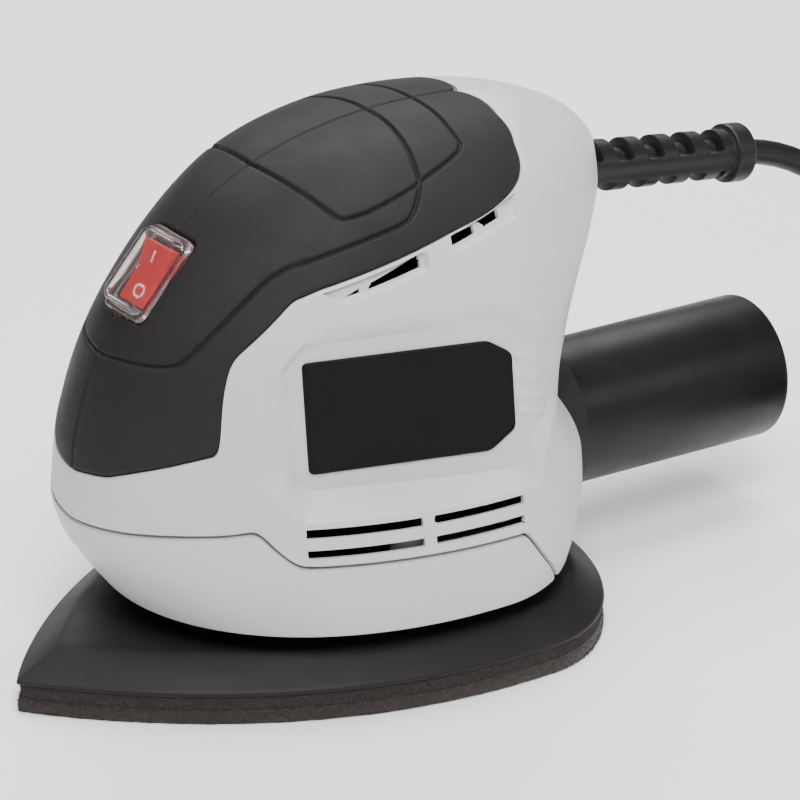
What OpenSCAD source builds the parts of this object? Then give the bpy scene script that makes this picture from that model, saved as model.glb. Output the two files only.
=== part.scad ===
// Detail mouse sander: palm-grip orbital sander with a leaf-shaped platen.
// Millimetres. Origin on the sanding face, on the motor's axis.
// +X points to the nose, +Y to the sander's left side, +Z up.

/* [Platen] */
// Nose tip of the platen, ahead of the motor axis
platen_nose_x = 77; // [74:0.5:80]
// Tail of the platen, behind the motor axis
platen_tail_x = -58; // [-60:0.5:-57]
// Half of the platen's greatest width
platen_half_w = 50.5; // [49:0.5:52]
// Thickness of the hook layer that holds the sanding sheet
hook_t = 3.2; // [2.8:0.1:3.4]
// Thickness of the foam cushion
foam_t = 2.8; // [2.4:0.1:3]
// Thickness of the bevelled plate above the foam
plate_t = 7; // [6.6:0.1:7.2]
// Radius of the dust holes
dust_hole_r = 4; // [3:0.5:4.5]

/* [Drive] */
// Eccentric offset, half of the orbit diameter
orbit_e = 1; // [0.6:0.1:1.2]
// Outside radius of the armature stack
armature_r = 13.3; // [12.5:0.1:13.4]
// Outside radius of the fan
fan_r = 26; // [22:0.5:26.5]

/* [Dust outlet] */
// Outside radius of the dust tube
tube_r = 16; // [15.5:0.1:16.2]
// Wall of the dust tube
tube_wall = 2.4; // [1.8:0.1:3]
// Angle by which the tube drops to the rear
tube_drop = 2; // [0:0.5:3]

/* [Housing] */
// Wall of the clamshell housing
shell_t = 3.8; // [3.4:0.1:4.2]
// Thickness of the soft grip laid over the housing
grip_t = 1.8; // [1.4:0.1:2]
// Gap between parting faces
seam_gap = 0.1; // [0.05:0.05:0.2]

/* [Cord] */
// Diameter of the mains cord
cord_d = 5.6; // [5:0.1:6]
// Mean radius of the stored coil
coil_mean_r = 31; // [29:0.5:33]

/* [Hidden] */

foam_z = hook_t;
plate_z = foam_z + foam_t;
plate_top = plate_z + plate_t;
skirt_z = 17.5;
top_z = 114;
chamber_z = 30;
lower_bearing_z = 44;
stator_z = 56;
stator_h = 26;
upper_bearing_z = 98;

// ---- Shape of the housing ----------------------------------------------------------
// The housing is a stack of egg-shaped sections. Each row is one section:
// height, nose x, tail x, half width, x of the widest place, nose taper, tail taper.
SECTIONS = [
    [17.5, 49, -52, 48, -14, -0.05, 0.1],
    [26, 55.5, -53.5, 50.5, -14, 0, 0.1],
    [34, 60.5, -54, 51.5, -15, 0.05, 0.1],
    [41, 62.5, -53.5, 51, -16, 0.1, 0.1],
    [48, 62.5, -50, 50, -17, 0.14, 0.2],
    [55, 62, -46, 49, -18, 0.16, 0.25],
    [62, 60.5, -48, 47.5, -18, 0.18, 0.25],
    [70, 57.8, -53, 45.5, -18, 0.18, 0.25],
    [78, 53.8, -58, 43, -18, 0.17, 0.2],
    [86, 48, -63, 39.8, -18, 0.14, 0.15],
    [93, 41.5, -65.5, 36.5, -17, 0.1, 0.1],
    [99, 34.5, -65, 33.4, -17, 0.06, 0.05],
    [104, 27.5, -61.5, 29.5, -17, 0.02, 0],
    [108, 19, -54.5, 24.5, -16.5, 0, 0],
    [111, 9.5, -46, 19, -16, 0, 0],
    [112.8, 0, -36, 13, -16, 0, 0],
    [113.7, -8, -26, 7.5, -16, 0, 0],
    [114, -14, -18, 2, -16, 0, 0]
];
function column(i) = [for (s = SECTIONS) [s[0], s[i]]];
NOSE = column(1);
TAIL = column(2);
HALF = column(3);
MID = column(4);
NOSE_TAPER = column(5);
TAIL_TAPER = column(6);

// Side panel: a flat plane that turns in towards the nose and leans in upwards.
panel_y = 40.5;
panel_turn = tan(18);
panel_lean = 0.11;
function panel(x, z) = panel_y - panel_turn * x - panel_lean * (z - 55);
function ramp(v, a, b) = min(1, max(0, (v - a) / (b - a)));
// 1 inside the recessed label zone, 0 outside it
function zone(x, z) = ramp(z, 47, 51) * ramp(-z, -84, -80.5) * ramp(-x, -38, -34.5);

// The point at angle a and height z, and the point d inside it, a little lower
function skin(a, z, d) = let(
    mid = lookup(z, MID),
    c = cos(a),
    s = sin(a),
    reach = (c > 0 ? lookup(z, NOSE) - mid : mid - lookup(z, TAIL)) - d,
    taper = c > 0 ? lookup(z, NOSE_TAPER) : lookup(z, TAIL_TAPER),
    x = mid + max(reach, 0.6) * c,
    y = max(lookup(z, HALF) - d, 0.6) * s * (1 - taper * c * c),
    p = panel(x, z) - d,
    w = zone(x, z)
) [x, abs(y) > p ? sign(y) * (abs(y) + w * (p - abs(y))) : y,
    skirt_z + (z - skirt_z) * (top_z - skirt_z - d) / (top_z - skirt_z)];

// Angles at which the sections are sampled, nose to tail
ANGLES = concat([0, 6, 13, 20, 26, 31, 35, 37.5, 39.5, 43, 47, 51, 54, 60, 67, 74],
    [for (i = [0:14]) 82 + i * 7]);

// Height of the groove between skirt and housing, by angle from the nose
GROOVE = [[0, 40], [17, 41], [39, 42.7], [45, 43.6], [51, 36], [54, 35.6], [91, 35], [115, skirt_z]];
function groove(a) = max(skirt_z, lookup(a, GROOVE));
// Height of the grip's lower edge, by angle from the nose
GRIP_EDGE = [[0, 51.3], [13, 52.4], [29, 56.7], [37, 59.5], [38.5, 68], [39.5, 77.5], [47, 88.8],
    [52.5, 90.8], [75, 96.5], [81, 97.9], [96, 100.6], [106, 103.2], [110, 104.9], [119, 108.4],
    [138, 111.6], [180, 113]];
function grip_edge(a) = lookup(a, GRIP_EDGE);

// Faces of a closed half shell: n outer rows, then n inner rows, of m points from nose to tail
function half_faces(n, m) = let(
    o = n * m,
    last = (n - 1) * m,
    e = m - 1
) concat(
    [for (r = [0:n - 2], c = [0:m - 2]) each [
        [r * m + c, (r + 1) * m + c, r * m + c + 1],
        [r * m + c + 1, (r + 1) * m + c, (r + 1) * m + c + 1]]],
    [for (r = [0:n - 2], c = [0:m - 2]) each [
        [o + r * m + c, o + r * m + c + 1, o + (r + 1) * m + c],
        [o + r * m + c + 1, o + (r + 1) * m + c + 1, o + (r + 1) * m + c]]],
    // bottom rim
    [for (c = [0:m - 2]) each [[c, c + 1, o + c], [c + 1, o + c + 1, o + c]]],
    // small flat caps at the top
    [[for (c = [e:-1:0]) last + c]],
    [[for (c = [0:e]) o + last + c]],
    // the seam plane, nose side, tail side and top
    [for (r = [0:n - 2]) each [
        [r * m, o + r * m, (r + 1) * m], [(r + 1) * m, o + r * m, o + (r + 1) * m],
        [r * m + e, (r + 1) * m + e, o + r * m + e],
        [(r + 1) * m + e, o + (r + 1) * m + e, o + r * m + e]]],
    [[last, o + last, o + last + e, last + e]]
);
module half_shell(outer, inner) {
    m = len(outer[0]);
    polyhedron(
        points = concat([for (r = outer) each r], [for (r = inner) each r]),
        faces = half_faces(len(outer), m));
}
function row(d, t, low, high) = [for (a = ANGLES)
    let(z0 = low(a), z1 = high(a), p = skin(a, z0 + (z1 - z0) * t, d))
    [p[0], max(p[1], seam_gap / 2), p[2]]];
function rows(d, steps, low, high) = [for (t = steps) row(d, t, low, high)];
// Row spacing that closes up towards the top of the dome
DOME_STEPS = [for (i = [0:9]) sin(i * 10)];

// Frame of the dust outlet: children's +Z runs rearwards along the tube's axis
tube_axis_z = 33.6;
tube_end = 114;
tube_in = 40.5;
// The stretch that sits in the socket is a step smaller, up to a shoulder
tube_shoulder = 58;
tube_step = 0.3;
socket_r = tube_r + 1.6;
module along_tube() {
    translate([0, 0, tube_axis_z]) rotate([0, -90 - tube_drop, 0]) children();
}

// Frame of the switch: +X up the slope, +Y to the right, +Z out of the grip
switch_x = 41.2;
switch_z = 88.7;
switch_tilt = 47.7;
module at_switch() {
    translate([switch_x, 0, switch_z]) rotate([0, switch_tilt, 0]) rotate([0, 0, 180]) children();
}
module slab(x, y, z0, z1, r) {
    translate([0, 0, z0]) linear_extrude(z1 - z0) rounded_rect(x, y, r);
}
module rounded_rect(x, y, r) {
    union() {
        square([x - 2 * r, y], center = true);
        square([x, y - 2 * r], center = true);
        for (i = [-1, 1], j = [-1, 1]) translate([i * (x / 2 - r), j * (y / 2 - r)]) circle(r, $fn = 24);
    }
}

// Opening for the switch, with cut corners
module switch_cutout() {
    at_switch() translate([0, 0, -4.5]) linear_extrude(15) polygon([[-10.3, -5.6], [-8.6, -7.3],
        [8.6, -7.3], [10.3, -5.6], [10.3, 5.6], [8.6, 7.3], [-8.6, 7.3], [-10.3, 5.6]]);
}

// Frame of the strain relief: +Z runs along the cord, out of the tail
relief_tilt = 8.6;
relief_x = -62;
relief_z = 88.6;
relief_len = 49.4;
module along_relief() {
    translate([relief_x, 0, relief_z]) rotate([0, -90 - relief_tilt, 0]) children();
}

// ---- Housing -----------------------------------------------------------------------
low_vent_h = 1.9;
module side_openings() {
    // two rows of two air slots beside the fan
    for (z = [38.7, 43], span = [[8, 31], [-15.3, 5.4]])
        translate([span[0], 20, z - low_vent_h / 2]) cube([span[1] - span[0], 40, low_vent_h]);
    // two air slots under the edge of the grip
    for (v = [[-2.6, 17, 90.6], [-25.5, -8.6, 96.4]])
        translate([v[0], 15, v[2]]) rotate([0, 14, 0]) cube([v[1] - v[0], 40, 2.6]);
}
module common_openings() {
    along_tube() translate([0, 0, 36]) rotate(7) cylinder(r = (socket_r + 0.3) / cos(15), h = 30, $fn = 12);
    along_relief() translate([0, 0, -12]) rotate(7) cylinder(r = 6.4, h = 30, $fn = 12);
    switch_cutout();
}
// Steps up the wall, closer together where the tail curves over
WALL_STEPS = [0, 0.13, 0.27, 0.41, 0.55, 0.68, 0.8, 0.88, 0.94];
module housing_half() {
    difference() {
        half_shell(
            concat(
                rows(0, concat(WALL_STEPS, [1]),
                    function(a) groove(a) + 0.2, function(a) grip_edge(a)),
                rows(grip_t + 0.1, DOME_STEPS,
                    function(a) grip_edge(a), function(a) top_z)),
            concat(
                rows(shell_t, concat(WALL_STEPS, [0.97]),
                    function(a) groove(a) + 0.2, function(a) grip_edge(a)),
                rows(shell_t, DOME_STEPS,
                    function(a) grip_edge(a), function(a) top_z)));
        side_openings();
        common_openings();
        // pocket for the label panel
        label_frame() translate([0, 0, -label_t - 0.05]) linear_extrude(6) offset(delta = 0.15) polygon(LABEL);
    }
}
module grip_half() {
    difference() {
        half_shell(
            rows(0, DOME_STEPS, function(a) grip_edge(a) + 0.1, function(a) top_z),
            rows(grip_t, DOME_STEPS, function(a) grip_edge(a) + 0.1, function(a) top_z));
        switch_cutout();
    }
}
module housing_left() color("gainsboro") housing_half();
module housing_right() color("gainsboro") mirror([0, 1, 0]) housing_half();
module grip_left() color("dimgray") grip_half();
module grip_right() color("dimgray") mirror([0, 1, 0]) grip_half();

// Label panel in its own plane: +X runs forward along the panel, +Z up
label_t = 0.8;
LABEL = [[-17.5, -11.5], [21.5, -11.5], [22.2, -10.8], [22.2, 11.1], [21.5, 11.8],
    [-17.5, 11.8], [-22.2, 8.6], [-22.2, -7.2]];
module label_frame() {
    translate([4.7, panel(4.7, 65) + 0.35, 65])
        rotate([0, 0, -18]) rotate([6, 0, 0]) rotate([90, 0, 0]) mirror([0, 0, 1]) children();
}
module nameplate_half() {
    label_frame() translate([0, 0, -label_t]) linear_extrude(label_t) polygon(LABEL);
}
module nameplate_left() color("black") nameplate_half();
module nameplate_right() color("black") mirror([0, 1, 0]) nameplate_half();

// ---- Base --------------------------------------------------------------------------
skirt_t = 4.1;
skirt_reach = 110;
SKIRT_SIDE = [for (a = ANGLES) if (a > 0 && a <= skirt_reach) a];
SKIRT_ANGLES = concat([for (i = [len(SKIRT_SIDE) - 1:-1:0]) -SKIRT_SIDE[i]], [0], SKIRT_SIDE);
SKIRT_STEPS = [0, 0.35, 0.7, 1];
function skirt_row(d, t) = [for (a = SKIRT_ANGLES)
    skin(a, skirt_z + (groove(abs(a)) - 0.2 - skirt_z) * t, d)];
// Faces of a closed band: n outer rows then n inner rows of m points
function band_faces(n, m) = let(o = n * m) concat(
    [for (r = [0:n - 2], c = [0:m - 2]) each [
        [r * m + c, (r + 1) * m + c, r * m + c + 1],
        [r * m + c + 1, (r + 1) * m + c, (r + 1) * m + c + 1]]],
    [for (r = [0:n - 2], c = [0:m - 2]) each [
        [o + r * m + c, o + r * m + c + 1, o + (r + 1) * m + c],
        [o + r * m + c + 1, o + (r + 1) * m + c + 1, o + (r + 1) * m + c]]],
    [for (c = [0:m - 2]) each [[c, c + 1, o + c], [c + 1, o + c + 1, o + c]]],
    let(t = (n - 1) * m) [for (c = [0:m - 2]) each [
        [t + c, o + t + c, t + c + 1], [t + c + 1, o + t + c, o + t + c + 1]]],
    [for (r = [0:n - 2]) each [
        [r * m, o + r * m, (r + 1) * m], [(r + 1) * m, o + r * m, o + (r + 1) * m]]],
    let(e = m - 1) [for (r = [0:n - 2]) each [
        [r * m + e, (r + 1) * m + e, o + r * m + e],
        [(r + 1) * m + e, o + (r + 1) * m + e, o + r * m + e]]]
);
module base_skirt() {
    color("gainsboro") polyhedron(
        points = concat(
            [for (t = SKIRT_STEPS) each skirt_row(0, t)],
            [for (t = SKIRT_STEPS) each skirt_row(skirt_t, t)]),
        faces = band_faces(len(SKIRT_STEPS), len(SKIRT_ANGLES)));
}

frame_z = 26;
frame_t = 2.5;
chamber_r = 31.3;
LEGS = [[36, 9], [36, -9], [-24, 30], [-24, -30]];
BASE_SCREWS = [[45, 0], [6, 39], [6, -39], [-40, 22], [-40, -22]];
module base_frame() {
    color("lightgray") difference() {
        union() {
            translate([0, 0, frame_z]) linear_extrude(frame_t)
                polygon([for (i = [0:59]) let(a = i * 6 - 180, p = skin(a, frame_z,
                    skirt_t + (abs(a) < 104 ? 0.4 : 1))) [p[0], p[1]]]);
            // bosses that take the base screws
            for (p = BASE_SCREWS) translate([p[0], p[1], frame_z + 0.5]) cylinder(r = 3.4, h = 9.5, $fn = 32);
        }
        translate([0, 0, frame_z - 1]) cylinder(r = chamber_r + 0.1, h = frame_t + 2, $fn = 96);
        along_tube() translate([0, 0, 20]) cylinder(r = socket_r + 0.3, h = 50, $fn = 64);
        for (p = LEGS) translate([p[0], p[1], frame_z - 1]) cylinder(r = 1.7, h = 5, $fn = 24);
        for (p = BASE_SCREWS) translate([p[0], p[1], frame_z - 1]) cylinder(r = 1.7, h = 12, $fn = 24);
    }
}
module screw(length, shank_r, head_r, head_h) {
    // pan-head screw standing on its tip, with a cross recess in the head
    difference() {
        union() {
            cylinder(r = shank_r, h = length, $fn = 24);
            translate([0, 0, length]) cylinder(r = head_r, h = head_h, $fn = 32);
        }
        for (q = [0, 90]) translate([0, 0, length + head_h]) rotate(q)
            cube([head_r * 1.1, 0.8, head_h], center = true);
    }
}
module base_screws() {
    color("silver") for (p = BASE_SCREWS) translate([p[0], p[1], frame_z - 0.1])
        mirror([0, 0, 1]) translate([0, 0, -10]) screw(10, 1.6, 3.1, 2);
}
leg_low_z = 9.6;
leg_r = 4.5;
module flexible_legs() {
    color("dimgray") for (p = LEGS) translate([p[0], p[1], 0]) difference() {
        rotate_extrude($fn = 40) polygon([[0, leg_low_z], [leg_r, leg_low_z], [leg_r, 14],
            [3.4, 15.5], [3.4, 22], [leg_r, 23.5], [leg_r, frame_z - 0.05], [0, frame_z - 0.05]]);
        translate([0, 0, 17.5]) cylinder(r = 1.6, h = 12, $fn = 24);
    }
}
module leg_screws() {
    color("silver") for (p = LEGS) translate([p[0], p[1], frame_z + frame_t + 0.05 - 10])
        screw(10, 1.55, 3.1, 2);
}

// Fan chamber with the lower bearing seat on top and the dust duct to the rear
chamber_wall = 2.3;
chamber_roof_z = 44;
seat_gap = 0.03;
module fan_housing() {
    color("dimgray") difference() {
        union() {
            translate([0, 0, frame_z]) cylinder(r = chamber_r, h = 20.2, $fn = 96);
            translate([0, 0, lower_bearing_z]) cylinder(r = 13.6, h = 7.2, $fn = 64);
            intersection() {
                along_tube() translate([0, 0, 27]) cylinder(r = socket_r, h = 30.5, $fn = 64);
                translate([-70, -30, 13.6]) cube([60, 60, 60]);
            }
        }
        translate([0, 0, chamber_z]) cylinder(r = chamber_r - chamber_wall, h = 14, $fn = 96);
        translate([0, 0, frame_z - 12]) cylinder(r = chamber_r - chamber_wall, h = 14, $fn = 96);
        translate([0, 0, frame_z - 1]) cylinder(r = 15, h = 8, $fn = 64);
        translate([0, 0, lower_bearing_z]) cylinder(r = 11 + seat_gap, h = 8, $fn = 64);
        translate([0, 0, chamber_roof_z - 1]) cylinder(r = 8, h = 4, $fn = 48);
        along_tube() translate([0, 0, 28.5]) cylinder(r = tube_r - tube_wall, h = 40, $fn = 64);
        along_tube() translate([0, 0, tube_in - 0.5]) cylinder(r = tube_r - tube_step + 0.05, h = 30, $fn = 64);
    }
}
module dust_tube() {
    color("dimgray") along_tube() difference() {
        union() {
            translate([0, 0, tube_in]) cylinder(r = tube_r - tube_step, h = 20, $fn = 96);
            translate([0, 0, tube_shoulder]) cylinder(r = tube_r, h = tube_end - tube_shoulder, $fn = 96);
        }
        translate([0, 0, tube_in - 1]) cylinder(r = tube_r - tube_wall, h = tube_end, $fn = 96);
    }
}

// ---- Motor -------------------------------------------------------------------------
module ring_bearing(r_in, r_out, h) {
    // ball bearing with recessed shields
    t = (r_out - r_in) / 4;
    rotate_extrude($fn = 64) polygon([[r_in, 0], [r_in + t, 0], [r_in + t, 0.5], [r_out - t, 0.5],
        [r_out - t, 0], [r_out, 0], [r_out, h], [r_out - t, h], [r_out - t, h - 0.5],
        [r_in + t, h - 0.5], [r_in + t, h], [r_in, h]]);
}
shaft_r = 4;
fit = 0.03;
module lower_bearing() color("silver") translate([0, 0, lower_bearing_z + 0.1]) ring_bearing(shaft_r + fit, 11, 7);
module upper_bearing() color("silver") translate([0, 0, upper_bearing_z]) ring_bearing(3.5 + fit, 9.5, 6);
module sector(r0, r1, half, h) {
    rotate([0, 0, -half]) rotate_extrude(angle = 2 * half, $fn = 96) translate([r0, 0]) square([r1 - r0, h]);
}
module stator_core() {
    color("gray") difference() {
        translate([0, 0, stator_z]) intersection() {
            cylinder(r = 25, h = stator_h, $fn = 96);
            translate([-22, -25, 0]) cube([44, 50, stator_h]);
        }
        translate([0, 0, stator_z - 1]) cylinder(r = armature_r + 0.6, h = stator_h + 2, $fn = 96);
        for (q = [54, 126, 234, 306]) translate([0, 0, stator_z - 1]) rotate(q)
            sector(15.4, 20.6, 9, stator_h + 2);
    }
}
module field_coils() {
    color("peru") for (q = [0, 180]) rotate(q) {
        translate([0, 0, stator_z - 4.4]) sector(15.8, 20.2, 61, 4.2);
        translate([0, 0, stator_z + stator_h + 0.2]) sector(15.8, 20.2, 61, 5);
        for (g = [-54, 54]) rotate(g) translate([0, 0, stator_z - 1.6]) sector(16.1, 19.9, 6.5, stator_h + 3.2);
    }
}
brush_z = 91.5;
module bearing_bridge() {
    color("dimgray") difference() {
        union() {
            translate([0, 0, 94.6]) cylinder(r = 12, h = 9.6, $fn = 64);
            translate([-6, -23.5, 94.6]) cube([12, 47, 3]);
            for (y = [-23.5, 20.2]) translate([-6, y, stator_z + stator_h + 0.1]) cube([12, 3.3, 13]);
        }
        translate([0, 0, upper_bearing_z - 0.1]) cylinder(r = 9.5 + seat_gap, h = 10, $fn = 64);
        translate([0, 0, 90]) cylinder(r = 9.6, h = 6.2, $fn = 64);
        translate([0, 0, 90]) cylinder(r = 5.5, h = 10, $fn = 48);
        for (s = [-1, 1]) translate([-3.7, s > 0 ? 9.5 : -24.5, brush_z - 3.1]) cube([7.4, 15, 6.3]);
    }
}
module brush_holders() {
    color("goldenrod") for (s = [-1, 1]) difference() {
        translate([-3.6, s > 0 ? 10 : -20, brush_z - 3]) cube([7.2, 10, 6]);
        translate([-2.6, s > 0 ? 9 : -21, brush_z - 2.1]) cube([5.2, 12, 4.2]);
    }
}
module carbon_brushes() {
    color("darkslategray") for (s = [-1, 1])
        translate([-2.5, s > 0 ? 9.1 : -16.1, brush_z - 2]) cube([5, 7, 4]);
}
module brush_springs() {
    color("silver") for (s = [-1, 1], i = [0:5])
        translate([0, s * (16.6 + i * 0.6), brush_z]) rotate([90, 0, 0])
            rotate_extrude($fn = 24) translate([1.4, 0]) circle(r = 0.32, $fn = 16);
}
module motor_shaft() {
    color("silver") rotate_extrude($fn = 64) polygon([[0, 27.05], [shaft_r, 27.05], [shaft_r, 96],
        [3.5, 96.6], [3.5, 104.2], [3, 104.6], [0, 104.6]]);
}
slots = 12;
module armature_core() {
    color("gray") translate([0, 0, stator_z]) difference() {
        cylinder(r = armature_r, h = stator_h, $fn = 96);
        translate([0, 0, -1]) cylinder(r = shaft_r + fit, h = stator_h + 2, $fn = 64);
        for (i = [0:slots - 1]) rotate(i * 360 / slots) {
            translate([10, 0, -1]) cylinder(r = 1.9, h = stator_h + 2, $fn = 24);
            translate([10, -0.7, -1]) cube([6, 1.4, stator_h + 2]);
        }
    }
}
module armature_windings() {
    color("peru") {
        for (i = [0:slots - 1]) rotate(i * 360 / slots) translate([10, 0, stator_z - 0.2])
            cylinder(r = 1.7, h = stator_h + 0.4, $fn = 24);
        translate([0, 0, stator_z - 4.2]) rotate_extrude($fn = 64) polygon([[5.2, 0.6], [6.5, 0],
            [10.5, 0.4], [12.2, 2], [12.4, 4.1], [5.2, 4.1]]);
        translate([0, 0, stator_z + stator_h + 0.1]) rotate_extrude($fn = 64) polygon([[5.2, 0],
            [12.4, 0], [12.2, 2.4], [10.5, 4], [6.5, 4.6], [5.2, 4.2]]);
    }
}
module commutator() {
    bars = 24;
    color("peru") translate([0, 0, 87.3]) difference() {
        union() {
            cylinder(r = 9, h = 8, $fn = 96);
            cylinder(r = 9.8, h = 1, $fn = 96);
        }
        translate([0, 0, -1]) cylinder(r = shaft_r + fit, h = 10, $fn = 64);
        for (i = [0:bars - 1]) rotate(i * 360 / bars) translate([8, -0.2, 1]) cube([3, 0.4, 8]);
    }
}
fan_disc_z = 36;
module fan() {
    blades = 12;
    color("whitesmoke") difference() {
        union() {
            translate([0, 0, 32.4]) cylinder(r = 7, h = 8, $fn = 48);
            translate([0, 0, fan_disc_z]) cylinder(r = fan_r, h = 1.6, $fn = 96);
            for (i = [0:blades - 1]) rotate(i * 360 / blades) {
                translate([11, -0.7, fan_disc_z - 4]) cube([fan_r - 12, 1.4, 4.4]);
                translate([11, -0.7, fan_disc_z + 1.2]) cube([fan_r - 12, 1.4, 4.4]);
            }
        }
        translate([0, 0, 30]) cylinder(r = shaft_r + fit, h = 14, $fn = 64);
    }
}
// Counterweight with the eccentric pin that drives the platen
pin_low_z = 14.3;
module counterweight() {
    color("darkgray") difference() {
        union() {
            translate([0, 0, 24.6]) cylinder(r = 9, h = 5, $fn = 64);
            translate([0, 0, 24.6]) rotate(180) sector(4, 21, 62, 3.2);
            translate([orbit_e, 0, pin_low_z]) cylinder(r = shaft_r - fit, h = 10.4, $fn = 64);
            translate([orbit_e, 0, 22.5]) cylinder(r = 5.6, h = 2.2, $fn = 64);
        }
        translate([0, 0, 27]) cylinder(r = shaft_r + fit, h = 4, $fn = 64);
        translate([orbit_e, 0, pin_low_z - 1]) cylinder(r = 2.03, h = 9, $fn = 48);
    }
}
module platen_bolt() {
    color("silver") translate([orbit_e, 0, 0]) difference() {
        union() {
            translate([0, 0, 8.6]) cylinder(r = 4.4, h = 4, $fn = 48);
            translate([0, 0, 12.6]) cylinder(r = 6.6, h = 1.6, $fn = 64);
            translate([0, 0, 12.6]) cylinder(r = 2, h = 9, $fn = 48);
        }
        translate([0, 0, 8]) cylinder(r = 2.2, h = 3, $fn = 6);
    }
}

// ---- Electrical pieces -------------------------------------------------------------
bezel_t = 1.6;
rocker_pivot = 0.4;
rocker_pin_r = 1;
module switch_body() {
    color("black") at_switch() difference() {
        union() {
            slab(15.2, 11.8, -15, bezel_t - 0.2, 0.8);
            slab(20, 14, 0, bezel_t, 2);
        }
        slab(14.8, 9.8, -7, bezel_t + 1, 0.4);
        translate([0, 0, rocker_pivot]) rotate([90, 0, 0])
            cylinder(r = rocker_pin_r + 0.05, h = 11.2, center = true, $fn = 32);
    }
}
module switch_boot() {
    color("white", 0.4) at_switch() difference() {
        union() {
            slab(19.8, 13.8, bezel_t + 0.02, bezel_t + 1.4, 2);
            slab(18, 12, bezel_t + 0.02, 5.6, 2.4);
        }
        slab(16.4, 10.6, bezel_t - 1, 4.9, 1.6);
    }
}
rocker_angle = 12;
module switch_rocker() {
    color("red") at_switch() translate([0, 0, rocker_pivot]) rotate([0, -rocker_angle, 0])
        rotate([90, 0, 0]) union() {
            linear_extrude(9.3, center = true)
                polygon([[-6.9, 2.4], [0, 1.6], [6.9, 2.4], [6.9, -0.6], [3, -3.4], [-3, -3.4], [-6.9, -0.6]]);
            // pivot pins that turn in the switch body's sides
            cylinder(r = rocker_pin_r, h = 11, center = true, $fn = 32);
        }
}
module switch_terminals() {
    color("goldenrod") at_switch() for (x = [-4.5, 4.5])
        translate([x - 0.4, -2.4, -19]) cube([0.8, 4.8, 3.95]);
}
module suppressor_capacitor() {
    color("gold") translate([-40, -9, 62]) cube([7, 18, 12]);
}
module terminal_block() {
    color("white") difference() {
        translate([-40, -9, 76]) cube([9, 18, 6]);
        for (y = [-5, 5]) translate([-38, y, 78]) cylinder(r = 1.5, h = 5, $fn = 24);
    }
}
// Tube of given radius along a list of points, with n sides
function unit(v) = v / norm(v);
function run_at(path, i) = unit(path[min(i + 1, len(path) - 1)] - path[max(i - 1, 0)]);
function ring_at(path, i, r, n) = let(
    t = run_at(path, i),
    side = unit(cross(t, abs(t[2]) > 0.9 ? [0, 1, 0] : [0, 0, 1])),
    up = cross(side, t)
) [for (k = [0:n - 1]) path[i] + r * (cos(k * 360 / n) * side + sin(k * 360 / n) * up)];
module swept_tube(path, r, n) {
    m = len(path);
    polyhedron(
        points = [for (i = [0:m - 1]) each ring_at(path, i, r, n)],
        faces = concat(
            [for (i = [0:m - 2], k = [0:n - 1]) let(a = i * n + k, b = i * n + (k + 1) % n) each
                [[a, b, a + n], [b, b + n, a + n]]],
            [[for (k = [n - 1:-1:0]) k]],
            [[for (k = [0:n - 1]) (m - 1) * n + k]]));
}
WIRE_LEFT = [[-34, 5, 82.2], [-33, 12, 85], [-28, 20, 88.5], [-17, 26, 91], [0, 27, 92], [13, 23, 90],
    [20, 16, 86.5], [24, 9, 82.5], [24.8, 3.6, 79]];
WIRE_RIGHT = [for (p = WIRE_LEFT) [p[0], -p[1], p[2]]];
module internal_wires() {
    color("navy") {
        swept_tube(WIRE_LEFT, 1, 8);
        swept_tube(WIRE_RIGHT, 1, 8);
    }
}

// ---- Platen ------------------------------------------------------------------------
platen_mid_x = -24;
function leaf_nose(u) = platen_half_w * pow(1 - pow(u, 2.2), 0.93);
function leaf_tail(u) = platen_half_w * sqrt(1 - u * u);
LEAF_STEPS = [for (i = [0:24]) sin(i * 90 / 24)];
// Outline of the platen: one side from nose to tail, then both sides
LEAF_SIDE = concat(
    [for (i = [24:-1:0]) let(u = LEAF_STEPS[i])
        [platen_mid_x + (platen_nose_x - platen_mid_x) * u, leaf_nose(u)]],
    [for (i = [1:24]) let(u = LEAF_STEPS[i])
        [platen_mid_x - (platen_mid_x - platen_tail_x) * u, leaf_tail(u)]]
);
LEAF = concat(LEAF_SIDE, [for (i = [len(LEAF_SIDE) - 2:-1:1]) [LEAF_SIDE[i][0], -LEAF_SIDE[i][1]]]);
// The same outline drawn in by d at the sides and tail; the nose ridge runs in further
nose_run = 1.6;
function drawn_in(p, d) = let(
    dx = p[0] - platen_mid_x,
    reach = dx > 0 ? platen_nose_x - platen_mid_x : platen_mid_x - platen_tail_x,
    run = dx > 0 ? nose_run * d : d
) [platen_mid_x + dx * (reach - run) / reach, p[1] * (platen_half_w - d) / platen_half_w];
function leaf_ring(d, z) = [for (v = LEAF) let(p = drawn_in(v, d)) [p[0], p[1], z]];
module leaf_loft(levels) {
    n = len(LEAF);
    m = len(levels);
    polyhedron(
        points = [for (v = levels) each leaf_ring(v[0], v[1])],
        faces = concat(
            [for (i = [0:m - 2], k = [0:n - 1]) let(a = i * n + k, b = i * n + (k + 1) % n) each
                [[a, a + n, b], [b, a + n, b + n]]],
            [[for (k = [0:n - 1]) k]],
            [[for (k = [n - 1:-1:0]) (m - 1) * n + k]]));
}
DUST_HOLES = [[12, 31], [12, -31], [-12, 31], [-12, -31], [-38, 14], [-38, -14]];
HUB_SCREWS = [for (q = [45:90:315]) [orbit_e + 19.5 * cos(q), 19.5 * sin(q)]];
module dust_holes(r) {
    for (p = DUST_HOLES) translate([p[0], p[1], -1]) cylinder(r = r, h = 30, $fn = 32);
}
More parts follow.
